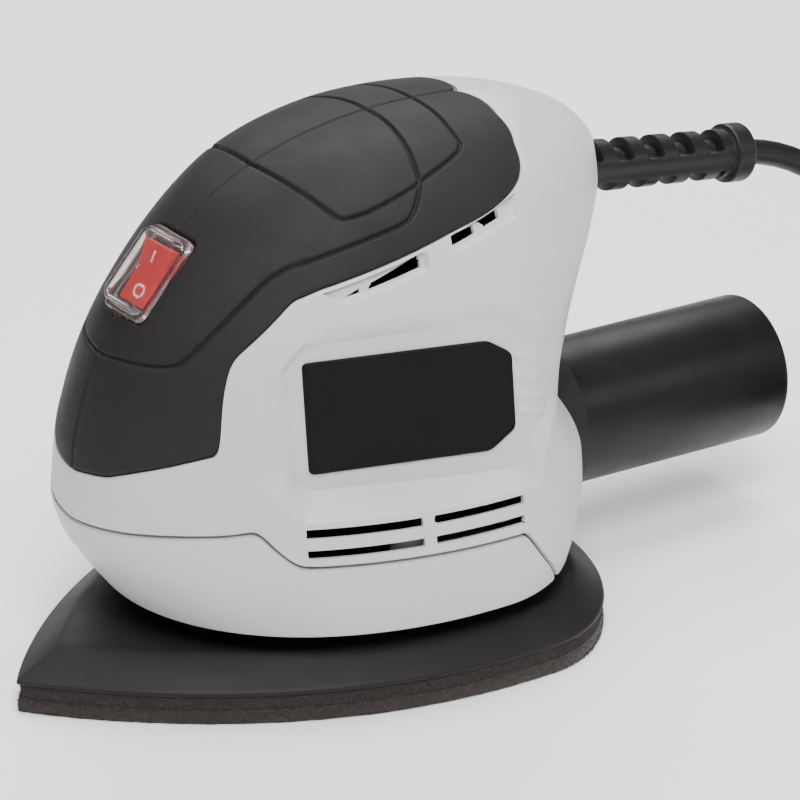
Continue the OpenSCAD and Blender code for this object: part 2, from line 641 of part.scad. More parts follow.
module pad_plate() {
    color("black") difference() {
        leaf_loft([[0.6, plate_z + 0.05], [0, plate_z + 0.8], [0.4, plate_z + 1.6], [6.2, plate_top - 0.5],
            [7.4, plate_top]]);
        dust_holes(dust_hole_r);
        translate([orbit_e, 0, plate_z - 1]) cylinder(r = 10, h = 12, $fn = 64);
        for (p = HUB_SCREWS) translate([p[0], p[1], plate_top - 5]) cylinder(r = 1.5, h = 8, $fn = 24);
        for (p = LEGS) translate([p[0] + orbit_e, p[1], leg_low_z - 1])
            cylinder(r = leg_r + orbit_e + 0.7, h = 8, $fn = 40);
    }
}
module pad_foam() {
    color("dimgray") difference() {
        translate([0, 0, foam_z]) linear_extrude(foam_t) polygon(LEAF);
        dust_holes(dust_hole_r);
    }
}
module hook_pad() {
    color("saddlebrown") difference() {
        linear_extrude(hook_t - 0.05) polygon(LEAF);
        dust_holes(dust_hole_r);
    }
}
hub_h = 9.4;
module platen_hub() {
    color("silver") translate([orbit_e, 0, plate_top + 0.05]) difference() {
        union() {
            cylinder(r = 23.5, h = 2.4, $fn = 96);
            cylinder(r = 14.5, h = hub_h, $fn = 64);
            for (q = [0:45:315]) rotate(q) translate([13, -1, 2]) cube([9, 2, 3]);
        }
        translate([0, 0, -1]) cylinder(r = 9.2, h = 12, $fn = 64);
        translate([0, 0, 2]) cylinder(r = 11 + seat_gap, h = 10, $fn = 64);
        for (p = HUB_SCREWS) translate([p[0] - orbit_e, p[1], -1]) cylinder(r = 1.7, h = 6, $fn = 24);
        for (p = HUB_SCREWS) translate([p[0] - orbit_e, p[1], 2.4]) cylinder(r = 3.1, h = 6, $fn = 32);
    }
}
module hub_screws() {
    color("silver") for (p = HUB_SCREWS) translate([p[0], p[1], plate_top + 2.5 - 7])
        screw(7, 1.45, 2.8, 1.9);
}
module eccentric_bearing() {
    color("silver") translate([orbit_e, 0, plate_top + 2.1]) ring_bearing(shaft_r, 11, 7);
}

// ---- Cord --------------------------------------------------------------------------
module strain_relief() {
    rings = 7;
    color("black") along_relief() union() {
        translate([0, 0, -17]) cylinder(r = cord_d / 2 + 0.15, h = 10, $fn = 40);
        translate([0, 0, -9]) cylinder(r = 7.4, h = 2, $fn = 48);
        translate([0, 0, -8]) cylinder(r = 5.9, h = 17, $fn = 48);
        translate([0, 0, 6]) cylinder(r1 = 4.9, r2 = 4.1, h = relief_len - 9, $fn = 48);
        for (i = [0:rings - 1]) translate([0, 0, 10 + i * 5.2])
            cylinder(r = 5.8 - i * 0.12, h = 3, $fn = 48);
        translate([0, 0, relief_len - 5]) cylinder(r = 6.5, h = 5, $fn = 48);
    }
}
module cord_clamp() {
    color("dimgray") along_relief() difference() {
        translate([-1, -10, -16]) cube([5, 20, 5]);
        translate([0, 0, -17]) cylinder(r = cord_d / 2 + 0.2, h = 7, $fn = 40);
        for (y = [-7, 7]) translate([-2, y, -13.5]) rotate([0, 90, 0]) cylinder(r = 1.6, h = 8, $fn = 24);
    }
}
module cord_clamp_screws() {
    color("silver") along_relief() for (y = [-7, 7]) translate([-5.95, y, -13.5]) rotate([0, 90, 0])
        screw(10, 1.5, 2.8, 1.8);
}
// The coil lies beside the line of the dust tube, so that a hose can reach it
CORD_PATH = [[-110.9, 0, 81.1], [-117, 0, 79.8], [-125, 0.6, 76.6], [-133, 2.8, 71.4], [-141, 6.6, 64],
    [-147.5, 11, 56], [-153.5, 15.6, 47.5], [-159.5, 20, 38.8], [-165.5, 23.2, 31], [-171.5, 25.6, 24.2],
    [-177, 27.4, 19.4], [-182.6, 29.5, 16], [-188, 32.8, 14.5]];
coil_x = -166;
coil_y = 62;
coil_h = 17;
TAIL_PATH = [[-164, 36.6, 14.4], [-170, 37.4, 15.6], [-176, 39.9, 17.6], [-181, 43.9, 19.9],
    [-184.6, 49, 22], [-186.5, 54.5, 23.4], [-187, 59.5, 24]];
module cord() {
    color("black") {
        swept_tube(CORD_PATH, cord_d / 2, 12);
        swept_tube(TAIL_PATH, cord_d / 2, 12);
    }
}
coil_half = 1.5 * cord_d + 0.1;
module cord_coil() {
    color("black") translate([coil_x, coil_y, 0]) rotate_extrude($fn = 72)
        translate([coil_mean_r, 0]) polygon([[-coil_half, 0], [coil_half, 0], [coil_half, coil_h],
            [-coil_half, coil_h]]);
}
tie_w = 5;
module coil_tie() {
    color("black") translate([coil_x + coil_mean_r, coil_y, 0]) difference() {
        translate([-coil_half - 1.2, -tie_w / 2, 0.05]) cube([2 * coil_half + 2.4, tie_w, coil_h + 1.2]);
        translate([-coil_half - 0.1, -tie_w, -1]) cube([2 * coil_half + 0.2, 2 * tie_w, coil_h + 1.1]);
    }
}
plug_x = -187;
plug_y = 57.5;
plug_z = 17.1;
plug_h = 13.8;
pin_gap = 18.6;
module at_plug() {
    translate([plug_x, plug_y, plug_z]) children();
}
module plug_body() {
    color("black") at_plug() difference() {
        linear_extrude(plug_h) polygon([[-4.5, 0], [4.5, 0], [9, 5], [16, 14], [17.6, 24], [17.6, 34],
            [-17.6, 34], [-17.6, 24], [-16, 14], [-9, 5]]);
        for (x = [-pin_gap / 2, pin_gap / 2]) translate([x, 28, plug_h / 2]) rotate([-90, 0, 0])
            cylinder(r = 2, h = 10, $fn = 32);
        translate([0, -1, plug_h / 2]) rotate([-90, 0, 0]) cylinder(r = cord_d / 2 + 0.05, h = 4, $fn = 40);
    }
}
module plug_pins() {
    color("silver") at_plug() for (x = [-pin_gap / 2, pin_gap / 2]) translate([x, 28, plug_h / 2])
        rotate([-90, 0, 0]) cylinder(r = 1.98, h = 25, $fn = 32);
}

housing_left();
housing_right();
base_skirt();
base_frame();
grip_left();
grip_right();
nameplate_left();
nameplate_right();
switch_body();
switch_boot();
switch_rocker();
switch_terminals();
fan_housing();
base_screws();
flexible_legs();
leg_screws();
stator_core();
field_coils();
bearing_bridge();
upper_bearing();
lower_bearing();
brush_holders();
carbon_brushes();
brush_springs();
suppressor_capacitor();
terminal_block();
internal_wires();
motor_shaft();
armature_core();
armature_windings();
commutator();
fan();
counterweight();
eccentric_bearing();
platen_hub();
hub_screws();
platen_bolt();
pad_plate();
pad_foam();
hook_pad();
dust_tube();
strain_relief();
cord_clamp();
cord_clamp_screws();
cord();
cord_coil();
coil_tie();
plug_body();
plug_pins();
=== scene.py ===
"""Detail mouse sander: the visible pieces and their materials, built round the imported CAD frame."""
import math

import bmesh
import bpy
import numpy as np
from mathutils import Matrix, Vector
from mathutils.kdtree import KDTree


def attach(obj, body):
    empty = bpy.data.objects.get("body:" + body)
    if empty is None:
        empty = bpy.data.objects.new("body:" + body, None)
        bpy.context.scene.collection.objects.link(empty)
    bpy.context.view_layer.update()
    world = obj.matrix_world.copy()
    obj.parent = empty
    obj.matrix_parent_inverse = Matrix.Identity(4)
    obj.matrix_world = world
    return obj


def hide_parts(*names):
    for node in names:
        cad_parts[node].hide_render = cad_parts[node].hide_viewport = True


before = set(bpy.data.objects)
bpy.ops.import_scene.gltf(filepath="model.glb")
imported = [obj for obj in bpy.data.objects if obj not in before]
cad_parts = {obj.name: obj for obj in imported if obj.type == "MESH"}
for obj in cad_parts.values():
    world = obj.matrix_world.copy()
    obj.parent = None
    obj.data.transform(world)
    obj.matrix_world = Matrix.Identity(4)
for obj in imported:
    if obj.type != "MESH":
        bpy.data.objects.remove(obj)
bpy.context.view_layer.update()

MM = 0.001
FINE = 1


# ---- Camera, floor and light ---------------------------------------------------------
def look_at(obj, place, target):
    """Puts a camera or lamp at a place, facing a target."""
    obj.location = place
    aim = Vector(target) - Vector(place)
    obj.rotation_euler = aim.to_track_quat("-Z", "Y").to_euler()


CAMERA_TARGET = (-0.020, 0.0, 0.0454)
camera_data = bpy.data.cameras.new("camera")
camera_data.sensor_width = 36.0
camera_data.lens = 253.9
camera_data.clip_end = 20.0
camera = bpy.data.objects.new("camera", camera_data)
bpy.context.scene.collection.objects.link(camera)
look_at(camera, (0.6116, 0.8920, 0.5407), CAMERA_TARGET)
bpy.context.scene.camera = camera


def link(obj):
    bpy.context.scene.collection.objects.link(obj)
    return obj


def area_light(name, place, target, size, power):
    data = bpy.data.lights.new(name, "AREA")
    data.shape = "RECTANGLE"
    data.size = size[0]
    data.size_y = size[1]
    data.energy = power
    lamp = link(bpy.data.objects.new(name, data))
    look_at(lamp, place, target)


area_light("key_softbox", (0.45, 0.85, 1.35), (0.0, 0.0, 0.05), (0.55, 0.55), 27)
area_light("side_softbox", (-0.9, 1.05, 0.75), (0.0, 0.0, 0.05), (0.5, 0.5), 4)
area_light("top_softbox", (-0.1, 0.05, 1.45), (0.0, 0.0, 0.05), (0.7, 0.7), 17)
area_light("floor_softbox", (-0.9, -1.5, 1.6), (-0.6, -0.9, 0.0), (1.6, 1.6), 44)

world = bpy.data.worlds.new("studio")
world.use_nodes = True
world.node_tree.nodes["Background"].inputs["Color"].default_value = (0.95, 0.97, 1.0, 1.0)
world.node_tree.nodes["Background"].inputs["Strength"].default_value = 0.23
bpy.context.scene.world = world


# ---- Materials -----------------------------------------------------------------------
def srgb(*values):
    """0-255 screen colour to a linear colour with alpha 1."""
    linear = []
    for v in values:
        c = v / 255.0
        linear.append(c / 12.92 if c <= 0.04045 else ((c + 0.055) / 1.055) ** 2.4)
    return (*linear, 1.0)


def shade(colour, factor):
    return (*[min(1.0, c * factor) for c in colour[:3]], 1.0)


class Surface:
    """A node material with helpers for the textures that every finish here needs."""

    def __init__(self, name):
        self.material = bpy.data.materials.new(name)
        self.material.use_nodes = True
        self.tree = self.material.node_tree
        self.shader = self.tree.nodes["Principled BSDF"]
        self.place = self.node("ShaderNodeTexCoord")
        self.last_bump = None

    def node(self, kind, **settings):
        made = self.tree.nodes.new(kind)
        for key, value in settings.items():
            setattr(made, key, value)
        return made

    def join(self, source, target):
        self.tree.links.new(source, target)

    def set(self, **values):
        names = {"metal": "Metallic", "rough": "Roughness", "ior": "IOR", "sheen": "Sheen Weight",
                 "sheen_rough": "Sheen Roughness", "clear": "Transmission Weight",
                 "specular": "Specular IOR Level"}
        for key, value in values.items():
            self.shader.inputs[names[key]].default_value = value

    def noise(self, scale, detail=3.0, roughness=0.55, stretch=None):
        tex = self.node("ShaderNodeTexNoise")
        tex.inputs["Scale"].default_value = scale
        tex.inputs["Detail"].default_value = detail
        tex.inputs["Roughness"].default_value = roughness
        source = self.place.outputs["Object"]
        if stretch:
            mapping = self.node("ShaderNodeMapping")
            mapping.inputs["Scale"].default_value = stretch
            self.join(source, mapping.inputs["Vector"])
            source = mapping.outputs["Vector"]
        self.join(source, tex.inputs["Vector"])
        return tex.outputs["Fac"]

    def cells(self, scale):
        tex = self.node("ShaderNodeTexVoronoi", feature="F1")
        tex.inputs["Scale"].default_value = scale
        self.join(self.place.outputs["Object"], tex.inputs["Vector"])
        return tex.outputs["Distance"]

    def colour(self, fac, *stops):
        ramp = self.node("ShaderNodeValToRGB")
        band = ramp.color_ramp
        band.elements[0].position, band.elements[0].color = stops[0]
        band.elements[1].position, band.elements[1].color = stops[-1]
        for place, value in stops[1:-1]:
            band.elements.new(place).color = value
        self.join(fac, ramp.inputs["Fac"])
        self.join(ramp.outputs["Color"], self.shader.inputs["Base Color"])

    def roughness(self, fac, low, high):
        span = self.node("ShaderNodeMapRange")
        span.inputs["From Min"].default_value = 0.3
        span.inputs["From Max"].default_value = 0.7
        span.inputs["To Min"].default_value = low
        span.inputs["To Max"].default_value = high
        self.join(fac, span.inputs["Value"])
        self.join(span.outputs["Result"], self.shader.inputs["Roughness"])

    def bump(self, height, strength, distance):
        bump = self.node("ShaderNodeBump")
        bump.inputs["Strength"].default_value = strength
        bump.inputs["Distance"].default_value = distance
        self.join(height, bump.inputs["Height"])
        if self.last_bump:
            self.join(self.last_bump, bump.inputs["Normal"])
        self.last_bump = bump.outputs["Normal"]
        self.join(self.last_bump, self.shader.inputs["Normal"])


def moulded(name, colour, rough, grain=2600.0, depth=0.00006, vary=0.05, strength=0.35, **more):
    """Moulded plastic or rubber: spark-eroded grain, faint flow marks and uneven gloss."""
    s = Surface(name)
    s.colour(s.noise(38.0, 4.0), (0.3, shade(colour, 1 - vary)), (0.7, shade(colour, 1 + vary)))
    s.roughness(s.noise(95.0, 5.0), rough - 0.05, rough + 0.06)
    s.bump(s.noise(45.0, 2.0), 0.05, 0.0004)
    s.bump(s.noise(grain, 2.0, 0.7), strength, depth)
    s.set(**more)
    return s.material


def metal(name, colour, rough, stretch=(1, 1, 1), scale=900.0, vary=0.12):
    """Machined or pressed metal with fine marks along one direction."""
    s = Surface(name)
    s.colour(s.noise(60.0, 5.0), (0.3, shade(colour, 1 - vary)), (0.7, shade(colour, 1 + vary)))
    marks = s.noise(scale, 4.0, 0.6, stretch)
    s.roughness(marks, rough - 0.08, rough + 0.12)
    s.bump(marks, 0.2, 0.00004)
    s.set(metal=1.0)
    return s.material


def banded(name, dark, light, scale, direction, rough, metallic=1.0, depth=0.00012):
    """Stacked sheets or wound wire: close parallel lines."""
    s = Surface(name)
    wave = s.node("ShaderNodeTexWave", wave_type="BANDS", bands_direction=direction)
    wave.inputs["Scale"].default_value = scale
    wave.inputs["Distortion"].default_value = 0.6
    wave.inputs["Detail"].default_value = 2.0
    s.join(s.place.outputs["Object"], wave.inputs["Vector"])
    s.colour(wave.outputs["Fac"], (0.2, dark), (0.8, light))
    s.roughness(s.noise(150.0, 4.0), rough - 0.06, rough + 0.08)
    s.bump(wave.outputs["Fac"], 0.6, depth)
    s.set(metal=metallic)
    return s.material


def foam_material():
    s = Surface("closed_cell_foam")
    cells = s.cells(1700.0)
    s.colour(cells, (0.0, srgb(28, 25, 25)), (0.9, srgb(52, 47, 46)))
    s.roughness(s.noise(160.0), 0.85, 0.97)
    s.bump(cells, 0.8, 0.00025)
    s.set(specular=0.25)
    return s.material


def hook_material():
    s = Surface("hook_layer")
    tufts = s.noise(1500.0, 6.0, 0.75)
    s.colour(tufts, (0.3, srgb(20, 16, 16)), (0.55, srgb(50, 42, 40)), (0.8, srgb(88, 76, 72)))
    s.roughness(s.noise(200.0), 0.88, 0.98)
    s.bump(tufts, 0.9, 0.0004)
    s.set(sheen=0.25, sheen_rough=0.5, specular=0.2)
    return s.material


def boot_material():
    s = Surface("clear_boot")
    s.colour(s.noise(220.0, 3.0), (0.3, (0.97, 0.86, 0.86, 1)), (0.7, (1.0, 0.93, 0.93, 1)))
    s.roughness(s.noise(350.0, 4.0), 0.08, 0.2)
    s.bump(s.noise(260.0, 2.0), 0.12, 0.00012)
    s.set(clear=0.98, ior=1.22, specular=0.35)
    return s.material


LIGHT_GREY = srgb(192, 192, 193)
FINISH = {
    "housing": moulded("grey_abs", LIGHT_GREY, 0.44, 2300.0, 0.00004, 0.025, 0.22),
    "skirt": moulded("grey_abs_skirt", LIGHT_GREY, 0.44, 2300.0, 0.00004, 0.025, 0.22),
    "inner_grey": moulded("plain_nylon", srgb(150, 150, 152), 0.55),
    "grip": moulded("soft_grip", srgb(34, 32, 33), 0.6, 1900.0, 0.00009, 0.07, 0.5, specular=0.16),
    "label": moulded("label_panel", srgb(12, 10, 15), 0.42, 3200.0, 0.00002, 0.05, 0.15, specular=0.12),
    "black": moulded("black_plastic", srgb(27, 26, 28), 0.5, 2400.0, 0.00006, 0.07, 0.35, specular=0.25),
    "plate": moulded("pad_plate_plastic", srgb(28, 25, 26), 0.52, 1500.0, 0.00008, 0.09, 0.45, specular=0.22),
    "tube": moulded("tube_plastic", srgb(18, 16, 17), 0.42, 2100.0, 0.00005, 0.06, 0.3, specular=0.25),
    "relief": moulded("relief_pvc", srgb(22, 21, 24), 0.4, 1600.0, 0.00006, 0.07, 0.3, specular=0.3),
    "cord": moulded("cord_pvc", srgb(20, 19, 22), 0.42, 1200.0, 0.00006, 0.07, 0.3, specular=0.3),
    "rubber": moulded("leg_rubber", srgb(38, 38, 38), 0.66, 1500.0, 0.0001, 0.1, 0.5),
    "red": moulded("rocker_red", srgb(186, 8, 12), 0.35, 1800.0, 0.00003, 0.04, 0.2, specular=0.25),
    "white_mark": moulded("printed_mark", srgb(240, 226, 222), 0.45),
    "bezel": moulded("bezel_plastic", srgb(58, 22, 22), 0.3, 2000.0, 0.00004, 0.06, 0.25),
    "boot": boot_material(),
    "foam": foam_material(),
    "hook": hook_material(),
    "yellow": moulded("capacitor_case", srgb(222, 172, 44), 0.35, 1500.0, 0.00005, 0.06, 0.3),
    "white": moulded("white_nylon", srgb(226, 224, 216), 0.45, 1800.0, 0.00006, 0.03, 0.3),
    "wire": moulded("wire_pvc", srgb(24, 30, 62), 0.4, 1500.0, 0.00005, 0.06, 0.3),
    "carbon": moulded("pressed_carbon", srgb(48, 48, 50), 0.62, 1400.0, 0.00012, 0.12, 0.6),
    "strap": banded("strap_weave", srgb(18, 18, 20), srgb(44, 44, 48), 420.0, "Y", 0.85, 0.0),
    "steel": metal("bright_steel", (0.56, 0.56, 0.57), 0.3),
    "zinc": metal("zinc_plate", (0.62, 0.62, 0.60), 0.34, (1, 1, 8)),
    "ground": metal("ground_steel", (0.60, 0.60, 0.61), 0.22, (1, 1, 40), 500.0),
    "cast": metal("die_cast", (0.40, 0.40, 0.41), 0.52, (1, 1, 1), 1300.0, 0.2),
    "aluminium": metal("cast_aluminium", (0.66, 0.66, 0.67), 0.42, (1, 1, 1), 1200.0, 0.1),
    "brass": metal("pressed_brass", (0.72, 0.53, 0.22), 0.32),
    "copper": metal("turned_copper", (0.78, 0.40, 0.24), 0.3, (1, 1, 30), 400.0),
    "nickel": metal("nickel_plate", (0.70, 0.68, 0.63), 0.2, (1, 12, 1), 600.0),
    "stack": banded("laminations", (0.20, 0.20, 0.21, 1), (0.42, 0.42, 0.43, 1), 300.0, "Z", 0.4),
    "winding": banded("winding_wire", (0.30, 0.11, 0.04, 1), (0.72, 0.34, 0.16, 1), 420.0, "DIAGONAL", 0.3),
}

CAD_FINISH = {
    "base_frame": "inner_grey", "fan_housing": "black", "switch_terminals": "brass", "base_screws": "zinc",
    "flexible_legs": "rubber", "leg_screws": "zinc", "stator_core": "stack", "field_coils": "winding",
    "bearing_bridge": "black", "upper_bearing": "steel", "lower_bearing": "steel", "brush_holders": "brass",
    "carbon_brushes": "carbon", "brush_springs": "steel", "suppressor_capacitor": "yellow",
    "terminal_block": "white", "internal_wires": "wire", "motor_shaft": "ground", "armature_core": "stack",
    "armature_windings": "winding", "commutator": "copper", "fan": "white", "counterweight": "cast",
    "eccentric_bearing": "steel", "platen_hub": "aluminium", "hub_screws": "zinc", "platen_bolt": "zinc",
    "cord_clamp": "black", "cord_clamp_screws": "zinc",
}
for node_name, finish in CAD_FINISH.items():
    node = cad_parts[node_name]
    node.data.materials.clear()
    node.data.materials.append(FINISH[finish])


# ---- Mesh helpers --------------------------------------------------------------------
def make_mesh(name, points, faces, finish, crease=38.0, smooth=True):
    """A new piece from points in millimetres."""
    mesh = bpy.data.meshes.new(name)
    mesh.from_pydata((np.asarray(points, float) * MM).tolist(), [], faces)
    mesh.materials.append(FINISH[finish])
    mesh.validate()
    mesh.update()
    if smooth:
        mesh.shade_smooth()
        mesh.set_sharp_from_angle(angle=math.radians(crease))
    return link(bpy.data.objects.new(name, mesh))


def finish_piece(obj, body, slot_name, *nodes):
    """Says which body a piece rides on and hides the CAD nodes it stands for; slot_name is not used."""
    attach(obj, body)
    if nodes:
        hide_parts(*nodes)


def set_normals_outward(obj):
    bm = bmesh.new()
    bm.from_mesh(obj.data)
    bmesh.ops.recalc_face_normals(bm, faces=bm.faces)
    bm.to_mesh(obj.data)
    bm.free()


def ring_faces(rings, cols):
    """Quads between neighbouring rings of points."""
    faces = []
    for start in range(0, (rings - 1) * cols, cols):
        for c in range(cols):
            a, b = start + c, start + (c + 1) % cols
            faces.append((a, b, b + cols, a + cols))
    return faces


def lofted(name, rings, finish, crease=38.0, outward=True):
    """A skin through rings of points that all have the same count, capped at both ends."""
    cols = len(rings[0])
    points = np.concatenate([np.asarray(r, float) for r in rings])
    faces = ring_faces(len(rings), cols)
    faces.append(tuple(range(cols - 1, -1, -1)))
    faces.append(tuple(range((len(rings) - 1) * cols, len(rings) * cols)))
    obj = make_mesh(name, points, faces, finish, crease)
    if outward:
        set_normals_outward(obj)
    return obj


def lathe(name, profile, place, finish, sides):
    """A turned piece: the profile is (radius, height) pairs round a closed loop, place is its frame."""
    rings = []
    for k in range(sides):
        angle = 2 * math.pi * k / sides
        rings.append([place @ Vector((r * math.cos(angle), r * math.sin(angle), h)) for r, h in profile])
    count = len(profile)
    points = [tuple(p) for ring in rings for p in ring]
    faces = []
    for k in range(sides):
        n = (k + 1) % sides
        for i in range(count):
            j = (i + 1) % count
            faces.append((k * count + i, n * count + i, n * count + j, k * count + j))
    obj = make_mesh(name, points, faces, finish, 30.0)
    set_normals_outward(obj)
    return obj


def rounded_profile(points, radius, steps=4):
    """Rounds every corner of a closed outline of (a, b) pairs."""
    out = []
    n = len(points)
    for i in range(n):
        p0, p1, p2 = Vector(points[i - 1]), Vector(points[i]), Vector(points[(i + 1) % n])
        u, v = (p0 - p1), (p2 - p1)
        r = min(radius, u.length * 0.45, v.length * 0.45)
        a, b = p1 + u.normalized() * r, p1 + v.normalized() * r
        for k in range(steps + 1):
            t = k / steps
            out.append(tuple((1 - t) ** 2 * a + 2 * t * (1 - t) * p1 + t ** 2 * b))
    return out


def cut_away(obj, cutters):
    """Takes the cutter shapes out of a piece, and removes them."""
    for cutter in cutters:
        change = obj.modifiers.new("cut", "BOOLEAN")
        change.object = cutter
        change.solver = "EXACT"
    bpy.context.view_layer.update()
    graph = bpy.context.evaluated_depsgraph_get()
    mesh = bpy.data.meshes.new_from_object(obj.evaluated_get(graph))
    old = obj.data
    obj.modifiers.clear()
    obj.data = mesh
    bpy.data.meshes.remove(old)
    obj.data.shade_smooth()
    obj.data.set_sharp_from_angle(angle=math.radians(35))
    for cutter in cutters:
        bpy.data.objects.remove(cutter)


def rod(name, x, y, z0, z1, radius, sides=40):
    """An upright round cutter."""
    ring = [(x + radius * math.cos(2 * math.pi * k / sides), y + radius * math.sin(2 * math.pi * k / sides))
            for k in range(sides)]
    rings = [[(a, b, z) for a, b in ring] for z in (z0, z1)]
    return lofted(name, rings, "black", outward=False)


# ---- The egg-shaped body surface -----------------------------------------------------
# Height, nose x, tail x, half width, x of the widest place, nose taper, tail taper.
SECTIONS = np.array([
    [17.5, 49, -52, 48, -14, -0.05, 0.1],
    [26, 55.5, -53.5, 50.5, -14, 0, 0.1],
    [34, 60.5, -54, 51.5, -15, 0.05, 0.1],
    [41, 62.5, -53.5, 51, -16, 0.1, 0.1],
    [48, 62.5, -50, 50, -17, 0.14, 0.2],
    [55, 62, -46, 49, -18, 0.16, 0.25],
    [62, 60.5, -48, 47.5, -18, 0.18, 0.25],
    [70, 57.8, -53, 45.5, -18, 0.18, 0.25],
    [78, 53.8, -58, 43, -18, 0.17, 0.2],
    [86, 48, -63, 39.8, -18, 0.14, 0.15],
    [93, 41.5, -65.5, 36.5, -17, 0.1, 0.1],
    [99, 34.5, -65, 33.4, -17, 0.06, 0.05],
    [104, 27.5, -61.5, 29.5, -17, 0.02, 0],
    [108, 19, -54.5, 24.5, -16.5, 0, 0],
    [111, 9.5, -46, 19, -16, 0, 0],
    [112.8, 0, -36, 13, -16, 0, 0],
    [113.7, -8, -26, 7.5, -16, 0, 0],
    [114, -14, -18, 2, -16, 0, 0]])
TOP_Z = 114.0
SKIRT_Z = 17.5
# Half the gap between the two halves, half the groove round the body, the gap under the grip's edge
SEAM_GAP = 0.05
GROOVE_GAP = 0.33
GRIP_GAP = 0.12
# Depths below the plain body: the grip's inside, its seat in the housing, the seat's and the skirt's inside
GRIP_WALL = 1.78
SEAT_DEPTH = 1.9
SEAT_INSIDE = 3.8
SKIRT_WALL = 3.6


def through(xs, ys, at):
    """A smooth curve through the points that never overshoots them, evaluated at the given places."""
    gap = np.diff(xs)
    slope = np.diff(ys) / gap
    tangent = np.zeros(len(xs))
    for i in range(1, len(xs) - 1):
        if slope[i - 1] * slope[i] > 0:
            near, far = 2 * gap[i] + gap[i - 1], gap[i] + 2 * gap[i - 1]
            tangent[i] = (near + far) / (near / slope[i - 1] + far / slope[i])
    tangent[0], tangent[-1] = slope[0], slope[-1]
    k = np.clip(np.searchsorted(xs, at) - 1, 0, len(xs) - 2)
    h = gap[k]
    t = np.clip((at - xs[k]) / h, 0, 1)
    rest = 1 - t
    return (ys[k] * (1 + 2 * t) * rest ** 2 + tangent[k] * h * t * rest ** 2
            + ys[k + 1] * t ** 2 * (3 - 2 * t) - tangent[k + 1] * h * t ** 2 * rest)


def sections(z):
    return [through(SECTIONS[:, 0], SECTIONS[:, i], z) for i in range(1, 7)]


def body_point(angle, z):
    """Point of the plain body at an angle from the nose, in degrees, and a height, in millimetres."""
    nose, tail, half, mid, nose_taper, tail_taper = sections(np.clip(z, SKIRT_Z, TOP_Z))
    c, s = np.cos(np.radians(angle)), np.sin(np.radians(angle))
    reach = np.where(c > 0, nose - mid, mid - tail)
    taper = np.where(c > 0, nose_taper, tail_taper)
    return np.stack([mid + reach * c, half * s * (1 - taper * c * c), z + 0 * c], axis=-1)


def inside_body(points):
    nose, tail, half, mid, nose_taper, tail_taper = sections(np.clip(points[:, 2], SKIRT_Z, TOP_Z))
    c = (points[:, 0] - mid) / np.where(points[:, 0] > mid, nose - mid, mid - tail)
    taper = np.where(c > 0, nose_taper, tail_taper)
    width = half * np.sqrt(np.clip(1 - c * c, 0, None)) * (1 - taper * c * c)
    return (np.abs(c) < 1) & (np.abs(points[:, 1]) < width) & (points[:, 2] < TOP_Z)


def on_body(points):
    """Moves points onto the body's surface along the line from a middle point."""
    centre = np.array((-15.0, 0.0, 60.0))
    aim = points - centre
    low, high = np.full(len(points), 0.5), np.full(len(points), 1.6)
    for _ in range(28):
        half_way = (low + high) / 2
        within = inside_body(centre + aim * half_way[:, None])
        low = np.where(within, half_way, low)
        high = np.where(within, high, half_way)
    return centre + aim * low[:, None]


def dense(line, step):
    """More points along a polyline, a step apart."""
    out = []
    for a, b in zip(line[:-1], line[1:]):
        a, b = np.array(a, float), np.array(b, float)
        count = max(1, int(np.ceil(np.linalg.norm(b - a) / step)))
        out += [a + (b - a) * k / count for k in range(count)]
    out.append(np.array(line[-1], float))
    return np.array(out)


def rounded_line(line):
    """Cuts the corners of an open polyline, so that it bends softly."""
    pts = [np.array(p, float) for p in line]
    out = [pts[0]]
    for a, b in zip(pts[:-1], pts[1:]):
        out += [a * 0.75 + b * 0.25, a * 0.25 + b * 0.75]
    out.append(pts[-1])
    return out


def distance_to(lines, points):
    """Distance from each point to the nearest of some dense lines."""
    places = np.concatenate(lines)
    tree = KDTree(len(places))
    for i, p in enumerate(places):
        tree.insert(Vector(p), i)
    tree.balance()
    flat = points.reshape(-1, 3)
    found = np.array([tree.find(Vector(p))[2] for p in flat])
    return found.reshape(points.shape[:-1])


def inside_distance(polygon, x, z):
    """Signed distance to a polygon in the side view: negative inside it."""
    best = np.full(x.shape, 1e9)
    inside = np.zeros(x.shape, bool)
    n = len(polygon)
    for i in range(n):
        ax, az = polygon[i]
        bx, bz = polygon[(i + 1) % n]
        dx, dz = bx - ax, bz - az
        t = np.clip(((x - ax) * dx + (z - az) * dz) / (dx * dx + dz * dz), 0, 1)
        best = np.minimum(best, np.hypot(x - ax - t * dx, z - az - t * dz))
        crosses = (az > z) != (bz > z)
        level = np.where(dz == 0, 1e-9, dz)
        inside ^= crosses & (x < ax + dx * (z - az) / level)
    return np.where(inside, -best, best)


def settle_on(feature, angle, z, reach):
    """Slides grid points that lie near a feature's edge onto it, so that the edge comes out clean."""
    for _ in range(3):
        here = body_point(angle, z)
        value = feature(here)
        da, dz = 0.05, 0.05
        beside, above = body_point(angle + da, z), body_point(angle, z + dz)
        length_a = np.linalg.norm(beside - here, axis=-1) / da
        length_z = np.linalg.norm(above - here, axis=-1) / dz
        slope_a = (feature(beside) - value) / (da * length_a + 1e-9)
        slope_z = (feature(above) - value) / (dz * length_z + 1e-9)
        size = slope_a ** 2 + slope_z ** 2 + 1e-6
        near = (np.abs(value) < reach) & (size > 0.05)
        step = np.clip(-value / size, -reach, reach)
        angle = np.where(near, angle + step * slope_a / (length_a + 1e-9), angle)
        z = np.where(near, z + step * slope_z / (length_z + 1e-9), z)
    return angle, z


def crown(rings, count=5):
    """Rows that close the top, drawn in to a point."""
    last = rings[-1]
    centre = np.array([-16.0, 0.0, last[0, 2]])
    return np.stack([centre + (last - centre) * (1 - k / count) for k in range(1, count + 1)])


